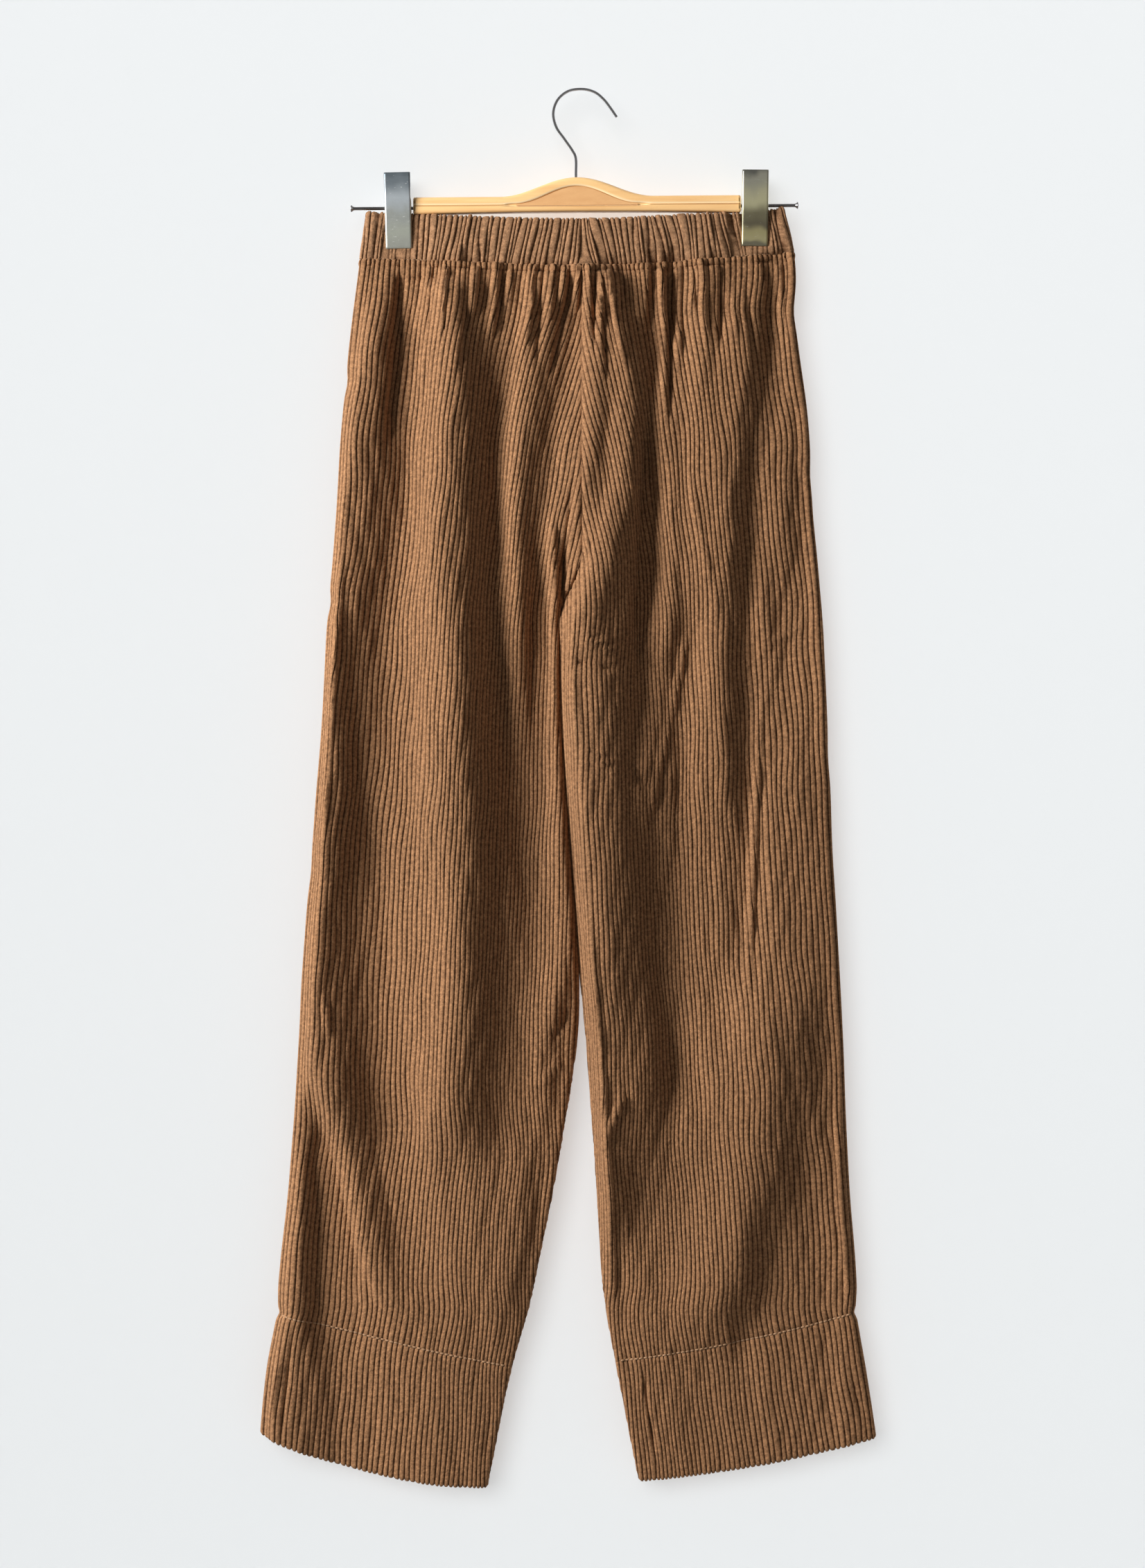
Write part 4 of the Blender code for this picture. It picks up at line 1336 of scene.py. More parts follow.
@dataclass(frozen=True)
class Bar:
    """The wooden bar, with rounded edges and a routed line that splits round the inlay."""

    top: float = 7.9
    bottom: float = -5.6
    half_depth: float = 6.0
    rounding: float = 2.4
    end_rounding: float = 1.6
    arch: float = 1.6
    hump_height: float = 14.8
    hump_half_width: float = 60.0
    inlay_half_width: float = 48.0
    inlay_border: float = 7.2
    inlay_floor: float = 4.4
    inlay_tip: float = 1.6
    inlay_close: float = 12.0  # how far past its tips the inlay's lines become one
    pocket: float = 1.4
    pocket_open: float = 1.2  # the inlay's height from which its pocket is full depth
    pocket_rim: float = 0.1
    rout_depth: float = 0.45
    rout_half_width: float = 0.55
    stations: int = 240

    def inlay_lines(self, x: Array) -> tuple[Array, Array]:
        """The inlay's lower and upper edges, which close to one line past its tips.

        Args:
            x: The stations along the bar.

        Returns:
            The heights of both edges.
        """
        floor = self.bottom + self.arch + self.inlay_floor
        tip = floor + self.inlay_tip
        roof = self.top + self.hump_height - self.inlay_border
        share = mound(x, self.inlay_half_width)
        closing = 1 - ease((abs(x) - self.inlay_half_width) / self.inlay_close)
        middle = (floor + tip) / 2
        return middle + (floor - middle) * closing, middle + (tip + (roof - tip) * share - middle) * closing

    def face_rows(self, x: Array) -> tuple[Array, Array, Array]:
        """One face of the bar, as rows of places.

        Args:
            x: The stations along the bar.

        Returns:
            The rows' heights, depths and marks, from the bottom row up. A mark is above zero in the routed
            line's shade and below zero on its lit edge.
        """
        low, high = self.inlay_lines(x)
        bottom = self.bottom + self.arch * (1 - (x / BAR_HALF) ** 2) + self.rounding
        top = self.top + self.hump_height * mound(x, self.hump_half_width) - self.rounding
        opened = ease((high - low) / self.pocket_open)
        half, rim, deep = self.rout_half_width, self.pocket_rim, self.pocket * opened
        under, over = low - 2 * half, high + 2 * half
        inside = deep + self.rout_depth * (1 - opened)
        rows = [(bottom + (under - bottom) * share, 0.0, 0.0) for share in (0.0, 0.35, 0.7)]
        # each row's last value marks painted shade in the routed line, above zero, or a painted highlight on
        # its edge, below zero
        rows += [(under, 0.0, 0.0), (low - half, self.rout_depth, 1.0), (low - rim, deep, -1.0)]
        rows += [(low + (high - low) * share, inside, 0.0) for share in (0.25, 0.5, 0.75)]
        rows += [(high + rim, deep, 0.8), (high + half, self.rout_depth, -1.0)]
        rows += [(high + 2.4 * half, 0.0, -0.5)]
        rows += [(over + (top - over) * share, 0.0, 0.0) for share in (0.3, 0.65, 1.0)]
        spread = [np.broadcast_arrays(x, *row) for row in rows]
        return tuple(np.stack([row[i] for row in spread]) for i in (1, 2, 3))

    def edge(self, side: int, level: Array, up: int, angles: Array) -> list[tuple[Array, Array]]:
        """One rounded long edge of the bar.

        Args:
            side: Its direction in Y.
            level: The height at which its rounding starts.
            up: Its direction in Z.
            angles: How far round it the points lie, from 0 on the face.

        Returns:
            The y and z of each point's row.
        """
        inner = self.half_depth - self.rounding
        return [
            (side * (inner + self.rounding * np.cos(turn)), level + up * self.rounding * np.sin(turn))
            for turn in angles
        ]

    def build(self) -> Item:
        """Makes the bar.

        Returns:
            The bar, with the routed line's marks for painted shade and highlight as an attribute.
        """
        x = np.linspace(-BAR_HALF, BAR_HALF, self.stations)
        heights, depths, marks = self.face_rows(x)
        turns = np.linspace(0, math.pi / 2, 5)[1:]
        front = [(self.half_depth - deep, high) for deep, high in zip(depths, heights)]
        loop = [(-y, z) for y, z in front]
        loop += self.edge(-1, heights[-1], 1, turns) + self.edge(1, heights[-1], 1, turns[-2::-1])
        over = len(loop) - len(front)
        loop += front[::-1]
        loop += self.edge(1, heights[0], -1, turns) + self.edge(-1, heights[0], -1, turns[::-1])
        under = len(loop) - over - 2 * len(front)
        plain = np.zeros_like(x)
        mark = np.stack([*marks, *[plain] * over, *marks[::-1], *[plain] * under], axis=1)
        columns = [[np.broadcast_to(value, x.shape) for value in (x, *pair)] for pair in loop]
        points = np.stack([np.stack(column, axis=-1) for column in columns], axis=1)
        points, mark = self.round_ends(points, mark)
        points = np.concatenate((points, points[:, :1]), axis=1)
        mark = np.concatenate((mark, mark[:, :1]), axis=1)
        return grid_object("beech_bar", moved(points, hanger_place()), rout=mark)

    def round_ends(self, points: Array, mark: Array) -> tuple[Array, Array]:
        """Adds shrinking loops at both ends, so that their edges are rounded too.

        Args:
            points: The bar's loops.
            mark: Their marks.

        Returns:
            The loops and marks with those of the ends.
        """
        radius = self.end_rounding
        turns = np.linspace(0, math.pi / 2, 5)[1:]
        for end in (0, -1):
            centre = points[end].mean(axis=0)
            out = np.sign(centre[0])
            inward = unit(centre - points[end])
            rings = np.stack([points[end] + inward * radius * (1 - math.cos(turn)) for turn in turns])
            for ring, turn in zip(rings, turns):
                ring[:, 0] = out * (BAR_HALF - radius + radius * math.sin(turn))
            points[end][:, 0] = out * (BAR_HALF - radius)
            ring_marks = np.stack([mark[end]] * len(rings))
            if end == 0:
                points, mark = np.concatenate((rings[::-1], points)), np.concatenate((ring_marks, mark))
            else:
                points, mark = np.concatenate((points, rings)), np.concatenate((mark, ring_marks))
        return points, mark


def tube_points(path: Array, radii: Array, sides: int, outward: Array | None = None) -> Array:
    """Rings round a path, each in the plane across it.

    Args:
        path: The centre line.
        radii: The radius at each of its points.
        sides: Points to a ring.
        outward: The direction at which each ring starts. Without it, that is square to the path and to Y.

    Returns:
        Rings by sides, the last side repeating the first.
    """
    ahead = unit(np.gradient(path, axis=0))
    first = unit(np.cross(ahead, (0.0, 1.0, 0.0)) if outward is None else outward)
    second = np.cross(ahead, first)
    angles = np.linspace(0, 2 * math.pi, sides + 1)[None, :, None]
    rings = first[:, None] * np.cos(angles) + second[:, None] * np.sin(angles)
    return path[:, None] + rings * radii[:, None, None]


@dataclass(frozen=True)
class Hook:
    """The chromed wire hook, round-ended, out of the bar's hump."""

    radius: float = 1.15
    sides: int = 18
    steps: int = 9
    cap: tuple[Pair, ...] = ((0.25, 0.9), (0.425, 0.6), (0.5, 0.25))
    path: tuple[Pair, ...] = (
        (-6.3, -80.0),
        (-6.3, -66.0),
        (-6.4, -53.0),
        (-9.0, -46.8),
        (-15.2, -37.8),
        (-21.6, -28.4),
        (-24.0, -17.6),
        (-20.6, -7.2),
        (-12.2, -0.3),
        (-1.0, 1.25),
        (8.4, -1.2),
        (15.2, -6.6),
        (20.2, -12.9),
        (25.3, -20.3),
    )

    def build(self) -> Item:
        """Makes the hook.

        Returns:
            The hook.
        """
        places = list(range(len(self.path)))
        at = np.linspace(0, places[-1], places[-1] * self.steps + 1)
        x, z = (smooth_curve(places, [place[axis] for place in self.path], at) for axis in (0, 1))
        line = np.stack((x, np.zeros_like(x), z), axis=1)
        end = unit(line[-1] - line[-2])
        line = np.concatenate((line, [line[-1] + end * self.radius * past for past, _ in self.cap]))
        radii = self.radius * np.array([1.0] * len(at) + [share for _, share in self.cap])
        return grid_object("chrome_hook", tube_points(line, radii, self.sides))


@dataclass(frozen=True)
class Rod:
    """One steel rod with a spread head like a nail's."""

    leg: Leg
    radius: float = 1.3
    head_radius: float = 2.7
    inside: float = 12.0
    sides: int = 20
    flare: tuple[Pair, ...] = ((3.2, 1.0), (2.2, 1.12), (1.3, 1.6))
    head: tuple[Pair, ...] = ((0.9, 0.96), (0.5, 1.0), (0.12, 0.93), (0.0, 0.75))

    def build(self) -> Item:
        """Makes the rod, from inside the bar to its head.

        Returns:
            The rod.
        """
        out = self.leg.value
        tip = ROD_TIP[self.leg] - BAR_CENTRE.x
        foot = out * (BAR_HALF - self.inside)
        stops = [(foot, self.radius), (foot + out * 0.01, self.radius)]
        stops += [(tip - out * back, self.radius * share) for back, share in self.flare]
        stops += [(tip - out * back, self.head_radius * share) for back, share in self.head]
        line = np.array([(x, 0.0, 0.0) for x, _ in stops])
        tube = tube_points(line, np.array([radius for _, radius in stops]), self.sides)
        return grid_object(f"steel_rod_{self.leg.word}", moved(tube, hanger_place()))


@dataclass(frozen=True)
class Clip:
    """One sprung clip: two pressed steel halves with folded flanges, and a coil spring round the rod."""

    leg: Leg
    width: float = 20.5
    plate: float = 0.8
    top: float = 26.3
    bottom: float = -32.3
    depth: float = 12.0
    bend: float = 1.5
    lip: float = 0.8  # how far the foot's bend comes in, as a share of the bend
    levels: int = 34
    jaw: float = CLIP_GRIP + GAP / 2 + GAP
    jaw_top: float = -5.4
    jaw_wall: float = 1.2
    waist: tuple[Pair, ...] = ((-3.4, -1.9), (3.4, -1.9), (7.5, 6.4))
    handle: float = 8.2
    coil: float = 2.75
    coil_length: float = 10.6
    coil_turns: float = 6.5
    wire: float = 0.55
    lean: dict[Leg, float] = field(default_factory=lambda: {Leg.LEFT: -1.3, Leg.RIGHT: 0.5})

    def place(self) -> Matrix:
        """The clip's place.

        Returns:
            The place on the rod of a clip that hangs a little off plumb.
        """
        hinge = Matrix.Translation((CLIP_X[self.leg] - BAR_CENTRE.x, 0, 0))
        turn = Matrix.Rotation(math.radians(self.lean[self.leg] - BAR_TILT), 4, "Y")
        return hanger_place() @ (hinge @ turn)

    def half_points(self, face: Face) -> Array:
        """The outer surface of one half, which the front one fits between the back one's flanges.

        Args:
            face: Which half it is.

        Returns:
            Rows up the half by columns across it, in the clip's own frame.
        """
        half_width = self.width / 2 - (0.0 if face is Face.BACK else self.plate + GAP)
        foot = self.bottom + self.bend
        rising = self.bottom + self.bend * (1 - np.cos(np.linspace(0, math.pi / 2, 5)))
        heights = np.concatenate((rising, np.linspace(foot, self.top, self.levels)[1:]))
        drop = np.clip((foot - heights) / self.bend, 0, 1)
        lip = self.bend * (1 - np.sqrt(np.maximum(1 - drop**2, 0)))
        share = (heights - self.bottom) / (self.top - self.bottom)
        jaw = self.jaw + self.jaw_wall
        outside = jaw + (self.depth - jaw) * share - lip * self.lip
        stops = ((self.bottom, self.jaw), (self.jaw_top, self.jaw), *self.waist, (self.top, self.handle))
        inside = np.interp(heights, *zip(*stops))
        reach = np.maximum(outside - inside, self.bend + 0.1) - self.bend
        arc = np.linspace(0, math.pi / 2, 6)
        edge = [(-half_width, self.bend + reach * share) for share in (1.0, 0.7, 0.4)]
        for turn in arc:
            edge.append((-half_width + self.bend * (1 - math.cos(turn)), self.bend * (1 - math.sin(turn))))
        flat = half_width - self.bend
        profile = edge + [(x, 0.0) for x in (-flat + 0.15, -flat / 2, 0.0, flat / 2, flat - 0.15)]
        profile += [(-x, depth) for x, depth in reversed(edge)]
        columns = []
        for x, depth in profile:
            column = (np.full_like(heights, x), face.value * (outside - depth), heights)
            columns.append(np.stack(column, axis=-1))
        return np.stack(columns, axis=1)

    def build_half(self, face: Face) -> Item:
        """Makes one half.

        Args:
            face: Which half it is.

        Returns:
            The half, with its plate's thickness as a modifier.
        """
        bm = bent_grid(moved(self.half_points(face), self.place()))
        bmesh.ops.recalc_face_normals(bm, faces=bm.faces)
        outward = sum(f.normal.y for f in bm.faces if abs(f.normal.y) > 0.7)
        if outward * face.value < 0:
            bmesh.ops.reverse_faces(bm, faces=bm.faces)
        made = finished(f"clip_plate_{self.leg.word}_{face.word}", bm, sharp=40)
        wall = made.modifiers.new("sheet_steel", "SOLIDIFY")
        wall.thickness = self.plate * MM
        wall.offset = -1
        wall.use_even_offset = True
        return made

    def build_spring(self) -> Item:
        """Makes the spring, a helix round the rod.

        Returns:
            The spring.
        """
        at = np.linspace(0, self.coil_turns, int(self.coil_turns * 22) + 1)
        angle = at * 2 * math.pi
        round_rod = self.coil * np.stack((np.zeros_like(at), np.cos(angle), np.sin(angle)), axis=1)
        line = round_rod.copy()
        line[:, 0] = self.coil_length * (at / self.coil_turns - 0.5)
        tube = tube_points(line, np.full(len(at), self.wire), 8, outward=round_rod)
        return grid_object(f"coil_spring_{self.leg.word}", moved(tube, self.place()))


# ---------------------------------------------------------------- finishes
class Sheet:
    """A material's nodes, with short ways to add and join them."""

    def __init__(self, name: str) -> None:
        """Starts a material with a Principled shader.

        Args:
            name: The material's name.
        """
        self.material = bpy.data.materials.new(name)
        self.material.use_nodes = True
        self.tree = self.material.node_tree
        self.shader = self.tree.nodes["Principled BSDF"]

    def feed(self, slot: Socket, value: object) -> None:
        """Gives an input a value, or links an output to it.

        Args:
            slot: The input.
            value: The value or output.
        """
        if isinstance(value, Socket):
            self.tree.links.new(value, slot)
        else:
            slot.default_value = value

    def set_inputs(self, **values: object) -> None:
        """Sets the shader's inputs, whose names are written with _ for each space."""
        for key, value in values.items():
            self.feed(self.shader.inputs[key.replace("_", " ")], value)

    def add(self, kind: str, **values: object) -> bpy.types.Node:
        """Adds a node.

        Args:
            kind: Its type.
            values: Its properties, and its inputs where a keyword starts with in_.

        Returns:
            The node.
        """
        node = self.tree.nodes.new(kind)
        for key, value in values.items():
            if key.startswith("in_"):
                self.feed(node.inputs[key[3:].replace("_", " ")], value)
            else:
                setattr(node, key, value)
        return node

    def place(self) -> Socket:
        """The place on the object, in metres."""
        return self.add("ShaderNodeTexCoord").outputs["Object"]

    def mark(self, name: str, output: str = "Fac") -> Socket:
        """The mesh's attribute of this name."""
        return self.add("ShaderNodeAttribute", attribute_name=name).outputs[output]

    def calculate(self, operation: str, *values: object) -> Socket:
        """Reckons with values in the material.

        Args:
            operation: What is done with them, as a Math node names it.
            values: Numbers or outputs.

        Returns:
            The result.
        """
        node = self.add("ShaderNodeMath", operation=operation)
        for slot, value in zip(node.inputs, values):
            self.feed(slot, value)
        return node.outputs[0]

    def mix(self, share: object, first: object, second: object, blend: str = "MIX") -> Socket:
        """Mixes two colours.

        Args:
            share: How much of the second colour there is.
            first: The first colour.
            second: The second colour.
            blend: How they are blended.

        Returns:
            The mixed colour.
        """
        node = self.add("ShaderNodeMix", data_type="RGBA", blend_type=blend)
        shares, firsts, seconds = 0, 6, 7  # the node's inputs for colours
        for slot, value in ((shares, share), (firsts, first), (seconds, second)):
            self.feed(node.inputs[slot], value)
        return node.outputs[2]

    def shade(self, colour: object, value: Socket, low: float, high: float, to: Pair) -> Socket:
        """Multiplies a colour by a value's ramp.

        Args:
            colour: The colour.
            value: The value.
            low: The value at which the ramp starts.
            high: The value at which it ends.
            to: What the colour is multiplied by at its start and its end.

        Returns:
            The shaded colour.
        """
        grey = self.add("ShaderNodeCombineColor")
        factor = self.ramp(value, low, high, to)
        for slot in grey.inputs:
            self.feed(slot, factor)
        return self.mix(1.0, colour, grey.outputs["Color"], "MULTIPLY")

    def noise(self, vector: Socket, scale: float = 1.0, detail: float = 3.0) -> Socket:
        """Noise of about the given number of patches to a unit."""
        node = self.add("ShaderNodeTexNoise", in_Vector=vector, in_Scale=scale, in_Detail=detail)
        return node.outputs["Fac"]

    def stretched(self, vector: Socket, scale: Triple) -> Socket:
        """A vector scaled by axis."""
        return self.add("ShaderNodeMapping", in_Vector=vector, in_Scale=scale).outputs["Vector"]

    def ramp(self, value: Socket, low: float, high: float, to: Pair) -> Socket:
        """A value mapped from one range to another.

        Args:
            value: The value.
            low: The start of its range.
            high: The end of its range.
            to: What they become. Values beyond the range are held at its ends.

        Returns:
            The mapped value.
        """
        node = self.add("ShaderNodeMapRange", clamp=True, in_Value=value, in_From_Min=low, in_From_Max=high)
        node.inputs["To Min"].default_value, node.inputs["To Max"].default_value = to
        return node.outputs["Result"]

    def bump(self, height: Socket, distance: float, strength: float) -> None:
        """Roughens the surface by a height in metres times distance."""
        node = self.add("ShaderNodeBump", in_Height=height, in_Strength=strength, in_Distance=distance)
        self.set_inputs(Normal=node.outputs["Normal"])


@dataclass(frozen=True)
class CorduroyFinish:
    """Brushed cotton pile on wales, with painted shade darkening the grooves."""

    name: str
    top: Colour = (0.31, 0.158, 0.075, 1.0)
    # the colour of the painted shade in the grooves
    groove: Colour = (0.05, 0.019, 0.007, 1.0)
    sheen: float = 0.14

    def build(self) -> Material:
        """Makes the material.

        Returns:
            The material.
        """
        sheet = Sheet(self.name)
        weave, groove, place = sheet.mark("weave", "Vector"), sheet.mark("groove"), sheet.place()
        beads = sheet.noise(sheet.stretched(weave, (0.28, 0.36, 1.0)), detail=1.0)
        pile = sheet.noise(place, 900.0, 2.0)
        clumps = sheet.noise(place, 260.0, 2.0)
        patches = sheet.noise(sheet.stretched(place, (9.0, 9.0, 4.0)), detail=2.0)
        # how much painted shade each place gets: most in the grooves, made uneven along the wales by the
        # beads
        deep = sheet.calculate("POWER", groove, 0.75)
        deep = sheet.calculate("ADD", deep, sheet.ramp(beads, 0.35, 0.7, (0.22, -0.17)))
        deep = sheet.calculate("MINIMUM", sheet.calculate("MAXIMUM", deep, 0.0), 1.0)
        colour = sheet.mix(deep, self.top, self.groove)
        for value, reach in ((pile, 0.34), (clumps, 0.18), (patches, 0.1)):
            colour = sheet.shade(colour, value, 0.25, 0.75, (1 - reach, 1 + reach))
        height = sheet.calculate("ADD", sheet.calculate("MULTIPLY", pile, 0.5), clumps)
        height = sheet.calculate("ADD", height, sheet.calculate("MULTIPLY", beads, 1.2))
        sheet.bump(height, 0.0007, 0.65)
        sheet.set_inputs(Base_Color=colour, Roughness=0.95, Specular_IOR_Level=0.15)
        sheet.set_inputs(Sheen_Weight=self.sheen, Sheen_Roughness=0.45, Sheen_Tint=(1.0, 0.66, 0.4, 1.0))
        return sheet.material


@dataclass(frozen=True)
class ThreadFinish:
    """Matt sewing thread."""

    name: str = "sewing_thread"
    colour: Colour = (0.33, 0.19, 0.1, 1.0)

    def build(self) -> Material:
        """Makes the material.

        Returns:
            The material.
        """
        sheet = Sheet(self.name)
        colour = sheet.shade(self.colour, sheet.noise(sheet.place(), 500.0), 0.3, 0.7, (0.85, 1.12))
        sheet.set_inputs(Base_Color=colour, Roughness=0.8)
        return sheet.material


@dataclass(frozen=True)
class WoodFinish:
    """Lacquered beech: fine long grain, short dark flecks, a routed line's painted shade and highlight."""

    name: str
    pale: Colour
    dark: Colour
    grain: Triple = (16.0, 260.0, 260.0)
    rout: bool = False
    rout_shade: Colour = (0.36, 0.17, 0.055, 1.0)
    rout_light: Colour = (0.99, 0.8, 0.5, 1.0)
    lacquer: float = 0.35

    def build(self) -> Material:
        """Makes the material.

        Returns:
            The material.
        """
        sheet = Sheet(self.name)
        place = sheet.place()
        lines = sheet.noise(sheet.stretched(place, self.grain), detail=4.0)
        broad = sheet.noise(sheet.stretched(place, (5.0, 70.0, 70.0)), detail=2.0)
        flecks = sheet.noise(sheet.stretched(place, (330.0, 1500.0, 1500.0)), detail=1.0)
        colour = self.pale
        darker = ((lines, 0.35, 0.72, 0.75), (broad, 0.4, 0.75, 0.4), (flecks, 0.66, 0.72, 0.35))
        for value, low, high, most in darker:
            colour = sheet.mix(sheet.ramp(value, low, high, (0.0, most)), colour, self.dark)
        # painted shade in the routed line and a painted highlight on its lit edges
        if self.rout:
            mark = sheet.mark("rout")
            colour = sheet.mix(sheet.ramp(mark, 0.1, 0.9, (0.0, 0.6)), colour, self.rout_shade)
            colour = sheet.mix(sheet.ramp(mark, -0.1, -0.9, (0.0, 0.85)), colour, self.rout_light)
        sheet.bump(lines, 0.00006, 0.4)
        sheet.set_inputs(Base_Color=colour, Roughness=sheet.ramp(lines, 0.3, 0.8, (0.34, 0.5)))
        sheet.set_inputs(Coat_Weight=self.lacquer, Coat_Roughness=0.22)
        return sheet.material


# the heights between which a clip's colours paint shade and reflections over its tint
CLIP_TOP, CLIP_FOOT = -0.064, -0.1235  # metres
TintsAndPaintedLight = tuple[tuple[float, Triple], ...]  # colours down a clip, from 0 at its top to 1 at its foot: its tint with painted shade and reflections
NICKEL_WITH_PAINTED_LIGHT: TintsAndPaintedLight = (
    (0.0, (0.14, 0.17, 0.19)),
    (0.1, (0.2, 0.235, 0.26)),
    (0.38, (0.52, 0.57, 0.6)),
    (0.6, (0.42, 0.44, 0.41)),
    (0.8, (0.47, 0.49, 0.42)),
    (0.96, (0.42, 0.43, 0.38)),
)
BRASSY_WITH_PAINTED_LIGHT: TintsAndPaintedLight = (
    (0.0, (0.14, 0.14, 0.12)),
    (0.1, (0.36, 0.35, 0.28)),
    (0.38, (0.56, 0.53, 0.33)),
    (0.6, (0.2, 0.18, 0.11)),
    (0.72, (0.16, 0.14, 0.09)),
    (0.84, (0.42, 0.37, 0.19)),
    (0.92, (0.46, 0.41, 0.22)),
    (0.97, (0.2, 0.18, 0.12)),
)


@dataclass(frozen=True)
class MetalFinish:
    """Bright or plated metal, finely scratched; several colours down its length paint shade and reflections.
    """

    name: str
    tones: TintsAndPaintedLight
    roughness: float
    metallic: float = 1.0
    scratches: float = 0.0
    scratch: Colour = (0.85, 0.85, 0.83, 1.0)

    def build(self) -> Material:
        """Makes the material.

        Returns:
            The material.
        """
        sheet = Sheet(self.name)
        place = sheet.place()
        height = sheet.add("ShaderNodeSeparateXYZ", in_Vector=place).outputs["Z"]
        cloud = sheet.noise(sheet.stretched(place, (55.0, 55.0, 40.0)), detail=2.0)
        # where a finish has several colours, as the clips' do, they paint shade and reflections down the
        # piece
        down = sheet.ramp(height, CLIP_TOP, CLIP_FOOT, (0.0, 1.0))
        down = sheet.calculate("ADD", down, sheet.ramp(cloud, 0.3, 0.7, (-0.06, 0.06)))
        tones = sheet.add("ShaderNodeValToRGB", in_Fac=down)
        tones.color_ramp.interpolation = "EASE"
        for i, (at, colour) in enumerate(self.tones):
            stop = tones.color_ramp.elements[0] if i == 0 else tones.color_ramp.elements.new(at)
            stop.position, stop.color = at, (*colour, 1.0)
        tones.color_ramp.elements[-1].color = (*self.tones[-1][1], 1.0)
        fine = sheet.noise(sheet.stretched(place, (300.0, 300.0, 900.0)), detail=2.0)
        worn = sheet.ramp(fine, 0.68, 0.76, (0.0, self.scratches))
        rough = sheet.ramp(fine, 0.3, 0.75, (self.roughness, self.roughness + 0.08))
        colour = sheet.mix(worn, tones.outputs["Color"], self.scratch)
        sheet.set_inputs(Base_Color=colour, Metallic=self.metallic, Roughness=rough)
        return sheet.material


# ---------------------------------------------------------------- studio
class Panel(NamedTuple):
    """A soft square light that looks at the trousers' middle: its place, its size and its power in watts."""

    place: Triple
    size: float
    power: float


